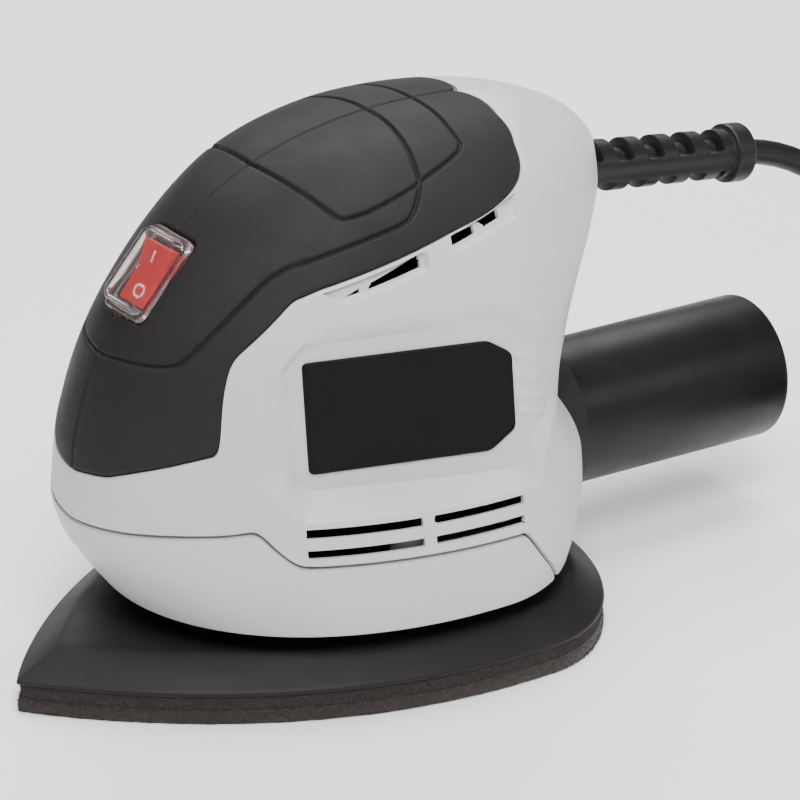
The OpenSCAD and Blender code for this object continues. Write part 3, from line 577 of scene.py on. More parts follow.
def grid_normals(points):
    """Outward normals of a grid of surface points."""
    along = np.gradient(points, axis=1)
    up = np.gradient(points, axis=0)
    along[:, 0, 0] = 0
    along[:, -1, 0] = 0
    normal = np.cross(along, up)
    length = np.linalg.norm(normal, axis=-1, keepdims=True)
    return normal / np.maximum(length, 1e-9)


def shell_mesh(name, outer, inner, keep, finish, mirrored, crease=34.0):
    """A thick shell from two matching grids. keep says which cells have material."""
    rows, cols = outer.shape[:2]
    points = np.concatenate([outer.reshape(-1, 3), inner.reshape(-1, 3)])
    if mirrored:
        points = points * np.array([1, -1, 1])
    other = rows * cols
    index = np.arange(other).reshape(rows, cols)
    a, b, d, e = index[:-1, :-1], index[:-1, 1:], index[1:, 1:], index[1:, :-1]
    framed = np.pad(keep, 1)
    bare = {"low": ~framed[:-2, 1:-1], "high": ~framed[2:, 1:-1],
            "left": ~framed[1:-1, :-2], "right": ~framed[1:-1, 2:]}
    walls = [(keep, (a, b, d, e)), (keep, (e + other, d + other, b + other, a + other))]
    for side, (p, q) in {"low": (b, a), "high": (e, d), "left": (a, e), "right": (d, b)}.items():
        walls.append((keep & bare[side], (p, q, q + other, p + other)))
    faces = np.concatenate([np.stack([c[mask] for c in corners], axis=-1) for mask, corners in walls])
    used, faces = np.unique(faces, return_inverse=True)
    faces = faces.reshape(-1, 4)
    if mirrored:
        faces = faces[:, ::-1]
    return make_mesh(name, points[used], faces.tolist(), finish, crease)


def edge_round(distance, radius):
    """How far a rounded edge falls back at some distance from it."""
    t = np.clip(1 - distance / radius, 0, 1)
    return radius * (1 - np.sqrt(np.clip(1 - t * t, 0, 1)))


# ---- Housing, skirt and grip ---------------------------------------------------------
# Heights of the two parting lines, by degrees from the nose
GROOVE = np.array([[0, 40], [17, 41], [39, 42.7], [45, 43.6], [51, 36], [54, 35.6], [91, 35], [115, 17.5],
                   [180, 17.5]])
GRIP_EDGE = np.array([[0, 51.3], [13, 52.4], [29, 56.7], [37, 59.5], [38.5, 68], [39.5, 77.5], [47, 88.8],
                      [52.5, 90.8], [75, 96.5], [81, 97.9], [96, 100.6], [106, 103.2], [110, 104.9],
                      [119, 108.4], [138, 111.6], [180, 113]])


def soft_height(table, angle, spread):
    """A height by angle, with its corners slightly rounded."""
    total = 0
    for shift in (-1.0, -0.5, 0.0, 0.5, 1.0):
        total = total + np.interp(np.abs(angle + shift * spread), table[:, 0], table[:, 1])
    return total / 5


def groove_height(angle):
    return np.maximum(soft_height(GROOVE, angle, 1.2), SKIRT_Z)


def grip_height(angle):
    over_tail = through(GRIP_EDGE[8:, 0], GRIP_EDGE[8:, 1], np.clip(angle, 75, 180))
    return np.where(angle > 76, over_tail, soft_height(GRIP_EDGE, angle, 0.9))


# Frames of the tube, the strain relief and the switch, in millimetres
def frame_at(place, z_axis, x_axis):
    z_axis = Vector(z_axis).normalized()
    y_axis = z_axis.cross(Vector(x_axis)).normalized()
    x_axis = y_axis.cross(z_axis)
    m = Matrix((x_axis, y_axis, z_axis)).transposed().to_4x4()
    m.translation = place
    return m


TUBE_DROP = math.radians(2.0)
TUBE = frame_at((0, 0, 33.6), (-math.cos(TUBE_DROP), 0, -math.sin(TUBE_DROP)), (0, 0, 1))
RELIEF_TILT = math.radians(8.6)
RELIEF = frame_at((-62, 0, 88.6), (-math.cos(RELIEF_TILT), 0, -math.sin(RELIEF_TILT)), (0, 0, 1))
SWITCH_TILT = math.radians(47.7)
SWITCH = frame_at((41.2, 0, 88.7), (math.sin(SWITCH_TILT), 0, math.cos(SWITCH_TILT)),
                  (-math.cos(SWITCH_TILT), 0, math.sin(SWITCH_TILT)))


def local(place, points):
    """Points in the axes of a frame."""
    inverse = np.array(place.inverted())
    return points @ inverse[:3, :3].T + inverse[:3, 3]


# Radii of the two round holes, half sizes and corner of the switch's, and the distance that means no hole
SOCKET_R = 17.9
RELIEF_R = 6.3
SWITCH_HOLE = (10.2, 7.2)
SWITCH_CORNER = 1.8
NO_HOLE = 20.0


def tube_hole(points):
    q = local(TUBE, points)
    return np.where(points[..., 0] < -20, np.hypot(q[..., 0], q[..., 1]) - SOCKET_R, NO_HOLE)


def relief_hole(points):
    q = local(RELIEF, points)
    return np.where(points[..., 0] < -30, np.hypot(q[..., 0], q[..., 1]) - RELIEF_R, NO_HOLE)


def switch_hole(points):
    q = local(SWITCH, points)
    dx = np.abs(q[..., 0]) - SWITCH_HOLE[0] + SWITCH_CORNER
    dy = np.abs(q[..., 1]) - SWITCH_HOLE[1] + SWITCH_CORNER
    far = np.hypot(np.maximum(dx, 0), np.maximum(dy, 0)) + np.minimum(np.maximum(dx, dy), 0)
    return np.where(points[..., 0] > 15, far - SWITCH_CORNER, NO_HOLE)


LOW_VENTS = [[(x0, z0), (x1, z0), (x1, z1), (x0, z1)]
             for x0, x1 in ((8, 31), (-15.3, 5.4)) for z0, z1 in ((37.8, 39.6), (42.1, 44.0))]
VENT_POCKETS = [[(20.1, 90), (16.2, 87.5), (-2.5, 91.9), (-2.8, 95.8)],
                [(-8.6, 97.5), (-8.3, 93.8), (-25.5, 97.4), (-27.5, 101.7)]]
HIGH_VENTS = [[(15.4, 88.7), (12.6, 89.3), (12.0, 90.2)],
              [(10.8, 89.7), (-1.2, 92.6), (-1.2, 94.9), (9.4, 91.0)],
              [(-9.1, 97.1), (-9.1, 95.2), (-14.9, 96.5), (-14.9, 98.0)],
              [(-16.0, 98.4), (-17.6, 97.2), (-21.8, 98.0), (-21.8, 99.6)]]
PANEL_OUTER = [(22.2, 83.9), (3.2, 84.5), (-15.4, 83.4), (-24.1, 78.5), (-33, 72), (-33, 58), (-25.5, 55.5),
               (-19.5, 44.9), (0, 45), (30.4, 45.4), (38.1, 54.5), (36.9, 64.8), (35.6, 72.1), (28, 79.2)]
PANEL_INNER = [(24.6, 79.6), (5, 80.2), (-13.8, 79.7), (-19.6, 76), (-28, 70.5), (-28, 60), (-21.5, 56.6),
               (-15.1, 48.3), (4.6, 48.4), (26.3, 49.3), (28.2, 51.5), (28.5, 60.4), (28.7, 75.6)]
RIBS = [((-18.8, 72.0), (-24.6, 69.8)), ((-18.4, 67.8), (-24.2, 65.6)), ((-18.0, 64.0), (-24.0, 61.9)),
        ((-17.8, 60.6), (-23.6, 59.0))]


def panel_plane(x, z):
    """The side panel's plane: the y of its floor."""
    return 40.5 - 0.325 * x - 0.11 * (z - 55)


def side_feature(polygon):
    return lambda p: inside_distance(polygon, p[..., 0], p[..., 2])


def press_in_panel(points):
    """Sinks the label panel's recess into the side of the housing."""
    x, y, z = points[..., 0], points[..., 1], points[..., 2]
    outside = inside_distance(PANEL_OUTER, x, z)
    beyond = inside_distance(PANEL_INNER, x, z)
    share = np.clip(-outside, 0, None) / (np.clip(-outside, 0, None) + np.clip(beyond, 0, None) + 1e-6)
    share = np.where(outside < 0, share, 0)
    floor = np.minimum(panel_plane(x, z), y - 1.5)
    ridge = np.zeros(x.shape)
    for (ax, az), (bx, bz) in RIBS:
        dx, dz = bx - ax, bz - az
        t = np.clip(((x - ax) * dx + (z - az) * dz) / (dx * dx + dz * dz), 0, 1)
        away = np.hypot(x - ax - t * dx, z - az - t * dz)
        ridge = np.maximum(ridge, 0.5 * np.clip(1.2 - away / 0.9, 0, 1))
    out = points.copy()
    out[..., 1] = y + share * (floor + ridge - y) * np.clip((x + 40) / 6, 0, 1)
    for pocket in VENT_POCKETS:
        depth = np.clip(-inside_distance(pocket, x, z) / 0.5, 0, 1) * 1.3
        out[..., 1] -= depth * np.clip((y - 5) / 10, 0, 1)
    return out


def wall_thickness(points):
    """The wall is thin round the air slots and full elsewhere."""
    x, z = points[..., 0], points[..., 2]
    near = np.full(x.shape, 99.0)
    for vent in LOW_VENTS + HIGH_VENTS:
        near = np.minimum(near, inside_distance(vent, x, z))
    return 1.0 + 2.2 * np.clip((near - 1.0) / 2.0, 0, 1)


def slanted(base, z):
    """Columns of the grid lean with the grip's edge where it drops beside the label panel."""
    lean = np.interp(z, [48, 60, 77, 92], [0.6, 1.7, -1.9, 0])
    return base + lean * np.exp(-((base - 37.7) / 6) ** 2)


def settle_inside(feature, angle, z, reach):
    """Settles all but the rim of a grid on a feature's edge, in place."""
    inner_part = (slice(1, -1), slice(1, -1))
    moved = settle_on(feature, angle[inner_part], z[inner_part], reach)
    angle[inner_part], z[inner_part] = moved


def keep_one_side(*grids):
    """Holds a half shell's points just off the middle plane."""
    for grid in grids:
        grid[:, (0, -1), 1] = SEAM_GAP
        grid[..., 1] = np.maximum(grid[..., 1], SEAM_GAP)


def cell_middles(grid):
    return (grid[:-1, :-1] + grid[1:, :-1] + grid[:-1, 1:] + grid[1:, 1:]) / 4


def housing_half(name, mirrored):
    """One half of the clamshell, with its air slots, label recess and the seat under the grip."""
    cols = 481 // FINE
    low_rows, dome_rows = 240 // FINE, 44
    base = np.linspace(0, 180, cols)
    steps = np.linspace(0, 1, low_rows)[:, None]
    low, high = groove_height(base) + GROOVE_GAP, grip_height(base)
    z = low + (high - low) * steps
    angle = slanted(base, z)
    features = [side_feature(v) for v in VENT_POCKETS + LOW_VENTS + HIGH_VENTS]
    features += [side_feature(PANEL_OUTER), side_feature(PANEL_INNER), tube_hole, relief_hole]
    for feature in features:
        settle_inside(feature, angle, z, 0.13 * FINE)
    plain = body_point(angle, z)
    normal = grid_normals(plain)
    upright = np.clip(np.hypot(normal[..., 0], normal[..., 1]), 0.3, 1)
    to_edge = np.minimum(np.abs(z - low), np.abs(high - z)) * upright
    outer_low = press_in_panel(plain) - normal * edge_round(to_edge, 0.6)[..., None]
    inner_low = press_in_panel(plain) - normal * wall_thickness(plain)[..., None]

    dome_steps = np.sin(np.linspace(0, math.pi / 2, dome_rows))[:, None]
    dome_z = high + (TOP_Z - high) * dome_steps
    dome_angle = slanted(base, dome_z)
    dome = body_point(dome_angle, dome_z)
    dome = np.concatenate([dome, crown(dome)])
    dome_normal = grid_normals(dome)
    dome_normal[dome_rows - 1:] = (0, 0, 1)
    outer = np.concatenate([outer_low, dome - dome_normal * SEAT_DEPTH])
    inner = np.concatenate([inner_low, dome - dome_normal * SEAT_INSIDE])
    keep_one_side(outer, inner)

    middle = cell_middles(np.concatenate([plain, dome]))
    keep = np.ones(middle.shape[:2], bool)
    for vent in LOW_VENTS + HIGH_VENTS:
        keep &= inside_distance(vent, middle[..., 0], middle[..., 2]) > 0
    for hole in (tube_hole, relief_hole, switch_hole):
        keep &= hole(middle) > 0
    return shell_mesh(name, outer, inner, keep, "housing", mirrored)


GROOVE_LINES = [
    [(17.8, 0, 108.5), (15.8, 13.7, 106.9), (12.4, 23, 103.1), (10.8, 24.5, 102.5), (4.6, 25.9, 103.7),
     (-4.7, 25.8, 106.1), (-7.2, 25.1, 107)],
    [(-11.4, 0, 113.8), (-11.4, 6.1, 113.7), (-9.7, 17.1, 111.5), (-7.2, 25.1, 107)],
    [(-23, 0, 113.8), (-22.7, 8.4, 113.4), (-21.4, 16.6, 111.7), (-21, 21, 109.9), (-15.2, 23.4, 108.7),
     (-7.1, 25.2, 106.8)],
    [(54.8, 0, 75.6), (53.9, 6.1, 75.9), (50.7, 12.4, 75.8), (47.5, 16.3, 76.4), (45.5, 17.5, 77.7),
     (39.8, 19.5, 83.1), (33, 21, 89), (26.4, 22.2, 94.1), (17.9, 25.9, 96.4), (6.7, 29, 99.4),
     (-0.5, 30, 101), (-3.2, 29, 102.9), (-5.6, 27.1, 105.2), (-7.2, 25.1, 107)]]


def grip_half(name, mirrored):
    """One half of the rubber grip, with its grooves and the edge round the switch."""
    cols = 521 // FINE
    rows = 340 // FINE
    base = np.linspace(0, 180, cols)
    low = grip_height(base) + GRIP_GAP
    span = np.linspace(0, 1, rows)
    steps = (1 - (1 - span) ** 2)[:, None]
    wide = np.convolve(np.pad(low, 30, "edge"), np.ones(61) / 61, "valid")
    blend = 0.8 * steps * steps * (3 - 2 * steps)
    start = low + (wide - low) * blend
    z = start + (TOP_Z - start) * steps
    z[-1] = TOP_Z
    angle = slanted(base, z)
    settle_inside(switch_hole, angle, z, 0.12 * FINE)
    z[1:-1, 1:-1] = np.minimum(z[1:-1, 1:-1], TOP_Z - 0.001)
    plain = body_point(angle, z)
    plain = np.concatenate([plain, crown(plain)])
    normal = grid_normals(plain)
    normal[rows - 1:] = (0, 0, 1)
    lines = [on_body(dense(rounded_line(line), 0.3)) for line in GROOVE_LINES]
    away = distance_to(lines, plain)
    cut = 0.75 * np.exp(-(away / 0.42) ** 2) + 0.3 * np.exp(-(plain[..., 1] / 0.35) ** 2)
    rise = np.linalg.norm(plain - plain[:1], axis=-1)
    edge = edge_round(rise, 0.9)
    hole_edge = edge_round(np.clip(switch_hole(plain), 0, None), 0.7)
    outer = plain - normal * np.minimum(cut + edge + hole_edge, 1.3)[..., None]
    inner = plain - normal * GRIP_WALL
    keep_one_side(outer, inner)
    keep = switch_hole(cell_middles(plain)) > 0
    return shell_mesh(name, outer, inner, keep, "grip", mirrored, 60.0)


def skirt(name):
    """The light lower shell round the nose and sides, under the groove."""
    cols, rows = 561 // FINE, 70 // FINE
    base = np.linspace(-112, 112, cols)
    high = groove_height(base) - GROOVE_GAP
    angle = np.repeat(base[None, :], rows, axis=0)
    z = SKIRT_Z + (high - SKIRT_Z) * np.linspace(0, 1, rows)[:, None]
    plain = body_point(angle, z)
    normal = grid_normals(plain)
    fall = edge_round(high - z, 0.7) + edge_round(z - SKIRT_Z, 1.0)
    outer = plain - normal * fall[..., None]
    inner = plain - normal * SKIRT_WALL
    inner[..., 2] = plain[..., 2]
    keep = np.ones((rows - 1, cols - 1), bool)
    return shell_mesh(name, outer, inner, keep, "skirt", False)


SIDES = (("left", False), ("right", True))
for side, mirrored in SIDES:
    shell = housing_half("housing_shell_" + side, mirrored)
    finish_piece(shell, "housing", "housing_grey", "housing_" + side)
for side, mirrored in SIDES:
    finish_piece(grip_half("grip_skin_" + side, mirrored), "housing", "grip_rubber", "grip_" + side)
finish_piece(skirt("skirt_shell"), "housing", "skirt_grey", "base_skirt")


# ---- Blank label panels --------------------------------------------------------------
LABEL = [(-12.0, 76.4), (25.6, 76.4), (25.7, 52.6), (-11.2, 52.8), (-16.6, 57.1), (-16.7, 73.3)]


def label_panel(name, mirrored):
    outline = rounded_profile(LABEL, 1.2, 5)
    rings = []
    for inset, lift in ((0.0, -0.3), (0.0, 0.35), (0.12, 0.52), (0.35, 0.62), (0.5, 0.5), (0.7, 0.5)):
        centre = np.mean(np.array(outline), axis=0)
        ring = []
        for x, z in outline:
            aim = np.array([x, z]) - centre
            x, z = centre + aim * (1 - inset / np.linalg.norm(aim))
            ring.append((x, panel_plane(x, z) + lift, z))
        rings.append(ring)
    if mirrored:
        rings = [[(x, -y, z) for x, y, z in ring] for ring in rings]
    return lofted(name, rings, "label")


for side, mirrored in SIDES:
    panel = label_panel("label_" + side, mirrored)
    finish_piece(panel, "housing", "nameplate_black", "nameplate_" + side)


# ---- Switch --------------------------------------------------------------------------
def rounded_ring(place, half_x, half_y, radius, height, corner=7):
    """A rounded rectangle of points in a frame."""
    ring = []
    for cx, cy, start in ((1, 1, 0), (-1, 1, 90), (-1, -1, 180), (1, -1, 270)):
        for k in range(corner):
            angle = math.radians(start + 90 * k / (corner - 1))
            ring.append(place @ Vector((cx * (half_x - radius) + radius * math.cos(angle),
                                        cy * (half_y - radius) + radius * math.sin(angle), height)))
    return [tuple(p) for p in ring]


def slab_rings(place, levels):
    return [rounded_ring(place, hx, hy, r, h) for hx, hy, r, h in levels]


def shell_of_rings(name, rings, finish, crease=38.0):
    """A body whose rings run up outside and back down inside, closed on itself."""
    cols = len(rings[0])
    points = np.concatenate([np.asarray(r, float) for r in rings])
    faces = ring_faces(len(rings), cols)
    last = (len(rings) - 1) * cols
    for c in range(cols):
        d = (c + 1) % cols
        faces.append((last + c, last + d, d, c))
    obj = make_mesh(name, points, faces, finish, crease)
    set_normals_outward(obj)
    return obj


def switch_pieces():
    bezel = shell_of_rings("switch_bezel", slab_rings(SWITCH, [
        (7.6, 5.1, 0.8, -15), (7.6, 5.1, 0.8, -0.1), (10.0, 7.0, 2.0, 0.0), (10.0, 7.0, 2.0, 1.2),
        (9.8, 6.8, 1.9, 1.5), (9.5, 6.5, 1.8, 1.6), (7.7, 5.2, 0.6, 1.6), (7.5, 5.0, 0.5, 1.4),
        (7.4, 4.95, 0.4, -7), (1.0, 1.0, 0.4, -7.2), (1.0, 1.0, 0.4, -14.8)]), "bezel")
    finish_piece(bezel, "housing", "switch_black", "switch_body")
    boot = shell_of_rings("clear_boot", slab_rings(SWITCH, [
        (9.6, 6.6, 2.0, 1.64), (9.9, 6.9, 2.0, 1.8), (9.9, 6.9, 2.0, 2.6), (9.6, 6.6, 2.0, 3.0),
        (9.1, 6.1, 2.2, 3.1), (8.95, 5.95, 2.3, 3.5), (8.8, 5.8, 2.3, 4.8), (8.5, 5.5, 2.2, 5.35),
        (8.0, 5.0, 2.0, 5.6), (4.0, 2.2, 1.2, 5.6), (0.5, 0.3, 0.2, 5.6),
        (0.5, 0.3, 0.2, 4.9), (7.6, 4.7, 1.6, 4.9), (8.0, 5.1, 1.7, 4.6), (8.2, 5.3, 1.7, 1.7)]),
        "boot", 50.0)
    finish_piece(boot, "housing", "boot_clear", "switch_boot")


ROCKER = SWITCH @ Matrix.Translation((0, 0, 0.4)) @ Matrix.Rotation(math.radians(-12), 4, "Y")


def switch_rocker():
    """The rocker: two sloping wings, rounded edges, and the usual circle and bar marks."""
    outline = [(-6.9, 2.4), (-3.4, 1.85), (0, 1.6), (3.4, 1.85), (6.9, 2.4), (6.9, -0.6), (3, -3.4),
               (-3, -3.4), (-6.9, -0.6)]
    outline = rounded_profile(outline, 0.5, 3)
    rings = []
    for y, inset in ((-4.65, 0.35), (-4.5, 0.12), (-4.2, 0.0), (4.2, 0.0), (4.5, 0.12), (4.65, 0.35)):
        ring = []
        for x, z in outline:
            scale = 1 - inset / 7.0
            ring.append(tuple(ROCKER @ Vector((x * scale, y, z * scale - inset * 0.1))))
        rings.append(ring)
    body = lofted("rocker_key", rings, "red")
    finish_piece(body, "rocker", "rocker_red", "switch_rocker")
    marks = []
    faces = []

    def top(x):
        return 1.6 + 0.8 * (abs(x) / 6.9) ** 1.6 + 0.1

    sides = 28
    for k in range(sides):
        angle = 2 * math.pi * k / sides
        for radius in (1.05, 1.5):
            x, y = -3.7 + radius * math.cos(angle), radius * math.sin(angle)
            marks.append(tuple(ROCKER @ Vector((x, y, top(x)))))
    for k in range(sides):
        n = (k + 1) % sides
        faces.append((2 * k, 2 * k + 1, 2 * n + 1, 2 * n))
    start = len(marks)
    for x, y in ((2.6, -0.22), (5.2, -0.22), (5.2, 0.22), (2.6, 0.22)):
        marks.append(tuple(ROCKER @ Vector((x, y, top(x)))))
    faces.append((start, start + 1, start + 2, start + 3))
    printed = make_mesh("rocker_marks", marks, faces, "white_mark")
    thick = printed.modifiers.new("thick", "SOLIDIFY")
    thick.thickness = 0.12 * MM
    thick.offset = 0.0
    finish_piece(printed, "rocker", "rocker_red")


switch_pieces()
switch_rocker()


# ---- Dust tube and strain relief -----------------------------------------------------
def dust_tube():
    profile = [(15.7, 40.5), (15.7, 58.0), (15.7, 58.02), (16.0, 58.3), (16.0, 80.0), (16.0, 112.9),
               (15.85, 113.5), (15.5, 113.9), (15.1, 114.0), (14.2, 114.0), (13.85, 113.85),
               (13.6, 113.4), (13.6, 80.0), (13.6, 40.5)]
    tube = lathe("tube", profile, TUBE, "tube", 144 // FINE)
    finish_piece(tube, "dust_outlet", "tube_black", "dust_tube")


RELIEF_END = 49.4
RELIEF_PITCH = 8.4
RELIEF_WINDOW = 4.4


def relief_radius(h, angle):
    """Outline of the bend protector: a root, a spine with staggered windows above and below, a collar."""
    if h < -8.5:
        return 2.95
    if h < -7.0:
        return 7.4
    if h > RELIEF_END - 5.2:
        return 6.5 - float(edge_round(min(h - RELIEF_END + 5.2, RELIEF_END - h), 0.8))
    radius = 5.75 - 0.35 * max(h, 0) / 48
    if h < 3 or h > RELIEF_END - 7:
        return radius
    half_turn = 0 if math.cos(angle) > 0 else RELIEF_PITCH / 2
    along = (h - 3 + half_turn) % RELIEF_PITCH
    from_end = min(along, RELIEF_WINDOW - along)
    from_side = abs(math.cos(angle)) - 0.42
    if from_end <= 0 or from_side <= 0:
        return radius
    return radius - 2.1 * min(1.0, from_end / 0.35) * min(1.0, from_side / 0.1)


def strain_relief():
    sides = 96 // FINE
    heights = np.arange(-17.0, RELIEF_END, 0.3 * FINE).tolist() + [RELIEF_END]
    grid = []
    for h in heights:
        ring = []
        for k in range(sides):
            angle = 2 * math.pi * k / sides
            r = relief_radius(h, angle)
            ring.append(tuple(RELIEF @ Vector((r * math.cos(angle), r * math.sin(angle), h))))
        grid.append(ring)
    piece = lofted("bend_protector", grid, "relief", 32.0)
    finish_piece(piece, "housing", "relief_rubber", "strain_relief")
    return piece


dust_tube()
relief_piece = strain_relief()


# ---- Platen --------------------------------------------------------------------------
PLATEN_NOSE, PLATEN_TAIL, PLATEN_MID, PLATEN_HALF = 77.0, -58.0, -24.0, 50.5


def leaf_outline(count=120 // FINE):
    side = []
    for k in range(count):
        u = math.sin(math.pi / 2 * (1 - k / count))
        side.append((PLATEN_MID + (PLATEN_NOSE - PLATEN_MID) * u,
                     PLATEN_HALF * max(0.0, 1 - u ** 2.2) ** 0.93))
    for k in range(count + 1):
        u = math.sin(math.pi / 2 * k / count)
        side.append((PLATEN_MID - (PLATEN_MID - PLATEN_TAIL) * u,
                     PLATEN_HALF * math.sqrt(max(0.0, 1 - u * u))))
    return side + [(x, -y) for x, y in side[-2:0:-1]]


LEAF = leaf_outline()
NOSE_RUN = 1.6
DUST_HOLES = [(12, 31), (12, -31), (-12, 31), (-12, -31), (-38, 14), (-38, -14)]
DUST_HOLE_R = 4.0
LEG_WELL_R = 6.2
ORBIT = 1
LEGS = [(36, 9), (36, -9), (-24, 30), (-24, -30)]


def leaf_ring(inset, z):
    """The platen's outline, drawn in by an inset and further at the sharp nose."""
    ring = []
    for x, y in LEAF:
        dx = x - PLATEN_MID
        reach = PLATEN_NOSE - PLATEN_MID if dx > 0 else PLATEN_MID - PLATEN_TAIL
        run = NOSE_RUN * inset if dx > 0 else inset
        ring.append((PLATEN_MID + dx * (reach - run) / reach, y * (PLATEN_HALF - inset) / PLATEN_HALF, z))
    return ring


def hole_rods(z0, z1):
    return [rod("hole", x, y, z0, z1, DUST_HOLE_R) for x, y in DUST_HOLES]


def pad_plate():
    levels = [(0.7, 6.05), (0.25, 6.15), (0.05, 6.4), (0.0, 6.8), (0.1, 7.15), (0.5, 7.5), (0.95, 7.85),
              (2.2, 8.95), (3.5, 10.1), (4.8, 11.2), (5.9, 12.1), (6.6, 12.6), (7.1, 12.85), (7.8, 13.0)]
    plate = lofted("plate", [leaf_ring(d, z) for d, z in levels], "plate", 50.0)
    cutters = hole_rods(5, 15) + [rod("well", x + ORBIT, y, 8.6, 15, LEG_WELL_R) for x, y in LEGS]
    cutters.append(rod("hub_hole", ORBIT, 0, 5, 15, 10, 64))
    for q in (45, 135, 225, 315):
        turn = math.radians(q)
        x, y = ORBIT + 19.5 * math.cos(turn), 19.5 * math.sin(turn)
        cutters.append(rod("screw_hole", x, y, 8, 15, 1.5, 24))
    cut_away(plate, cutters)
    finish_piece(plate, "platen", "plate_black", "pad_plate")


def pad_foam():
    levels = [(0.5, 3.2), (0.42, 3.3), (0.5, 4.0), (0.62, 4.6), (0.55, 5.2), (0.45, 5.9), (0.5, 6.0)]
    foam = lofted("foam", [leaf_ring(d, z) for d, z in levels], "foam", 60.0)
    cut_away(foam, hole_rods(2, 7))
    finish_piece(foam, "platen", "foam_grey", "pad_foam")


def hook_pad():
    """The hook layer: a rough-edged sheet with a fringe of tiny stalks round its rim."""
    rng = np.random.default_rng(11)
    cols = len(LEAF)
    levels = [(0.55, 0.0), (0.2, 0.12), (0.08, 0.7), (0.0, 1.4), (0.05, 2.1), (0.15, 2.8), (0.5, 3.13)]
    rings = []
    for inset, z in levels:
        ring = np.array(leaf_ring(inset, z))
        if 0 < z < 3.1:
            wobble = rng.random(cols) * 0.32
            wobble = (wobble + np.roll(wobble, 1)) / 2
            aim = ring[:, :2] - np.array([PLATEN_MID, 0])
            aim /= np.linalg.norm(aim, axis=1, keepdims=True)
            ring[:, :2] -= aim * wobble[:, None]
            ring[:, 2] += (rng.random(cols) - 0.5) * 0.18
        rings.append([tuple(p) for p in ring])
    pad = lofted("hooks", rings, "hook", 70.0)
    cut_away(pad, hole_rods(-1, 4.5))
    finish_piece(pad, "platen", "hook_brown", "hook_pad")

    rim = np.array([(x, y) for x, y in LEAF])
    lengths = np.linalg.norm(np.roll(rim, -1, axis=0) - rim, axis=1)
    walk = np.concatenate([[0], np.cumsum(lengths)])
    points, faces = [], []
    count = 5200 // FINE
    for _ in range(count):
        at = rng.random() * walk[-1]
        i = max(min(int(np.searchsorted(walk, at)) - 1, cols - 1), 0)
        t = (at - walk[i]) / lengths[i]
        a, b = rim[i], rim[(i + 1) % cols]
        x, y = a + (b - a) * t
        out = np.array([b[1] - a[1], a[0] - b[0]])
        out = out / np.linalg.norm(out)
        if np.dot(out, np.array([x - PLATEN_MID, y])) < 0:
            out = -out
        z = 0.25 + 2.6 * rng.random()
        long = 0.25 + 0.35 * rng.random()
        width = 0.09 + 0.06 * rng.random()
        root = np.array([x - out[0] * 0.5, y - out[1] * 0.5, z])
        side = np.array([-out[1], out[0], 0]) * width
        up = np.array([0, 0, 1]) * width
        tip = root + np.array([out[0], out[1], 0]) * (0.35 + long * 0.5)
        tip = tip + side * (rng.random() - 0.5) * 4 + np.array([0, 0, (rng.random() - 0.6) * 0.35])
        tip[2] = max(tip[2], 0.03)
        start = len(points)
        points += [root + side, root - side * 0.5 + up, root - side * 0.5 - up, tip]
        faces += [tuple(start + i for i in face) for face in ((0, 1, 3), (1, 2, 3), (2, 0, 3), (0, 2, 1))]
    fringe = make_mesh("hook_fringe", points, faces, "hook", smooth=False)
    finish_piece(fringe, "platen", "hook_brown")


pad_plate()
pad_foam()
hook_pad()


# ---- Cord, coil, tie and plug --------------------------------------------------------
CORD_D = 5.6
CORD_PATH = [(-110.9, 0, 81.1), (-117, 0, 79.8), (-125, 0.6, 76.6), (-133, 2.8, 71.4),
             (-141, 6.6, 64), (-147.5, 11, 56), (-153.5, 15.6, 47.5), (-159.5, 20, 38.8),
             (-165.5, 23.2, 31), (-171.5, 25.6, 24.2), (-177, 27.4, 19.4), (-182.6, 29.5, 16),
             (-188, 32.8, 14.5)]
TAIL_PATH = [(-164, 36.6, 14.4), (-170, 37.4, 15.6), (-176, 39.9, 17.6), (-181, 43.9, 19.9),
             (-184.6, 49, 22), (-186.5, 54.5, 23.4), (-187, 59.5, 24)]
COIL_CENTRE = (-166.0, 62.0)
COIL_ROWS = {"outer": 36.6, "middle": 31.0, "inner": 25.4}
COIL_LEVELS = {"top": 14.2, "mid": 8.6, "low": 3.0}
WINDING = [("outer", "top"), ("middle", "top"), ("middle", "mid"), ("outer", "mid"), ("outer", "low"),
           ("middle", "low"), ("inner", "low"), ("inner", "mid"), ("inner", "top")]


def catmull(points, step):
    """A smooth curve through points, sampled about a step apart."""
    pts = [np.array(p, float) for p in points]
    pts = [2 * pts[0] - pts[1]] + pts + [2 * pts[-1] - pts[-2]]
    out = []
    for i in range(1, len(pts) - 2):
        p0, p1, p2, p3 = pts[i - 1:i + 3]
        count = max(2, int(np.linalg.norm(p2 - p1) / step))
        for k in range(count):
            t = k / count
            out.append(0.5 * (2 * p1 + (p2 - p0) * t + (2 * p0 - 5 * p1 + 4 * p2 - p3) * t * t
                              + (3 * p1 - p0 - 3 * p2 + p3) * t ** 3))
    out.append(pts[-2])
    return out


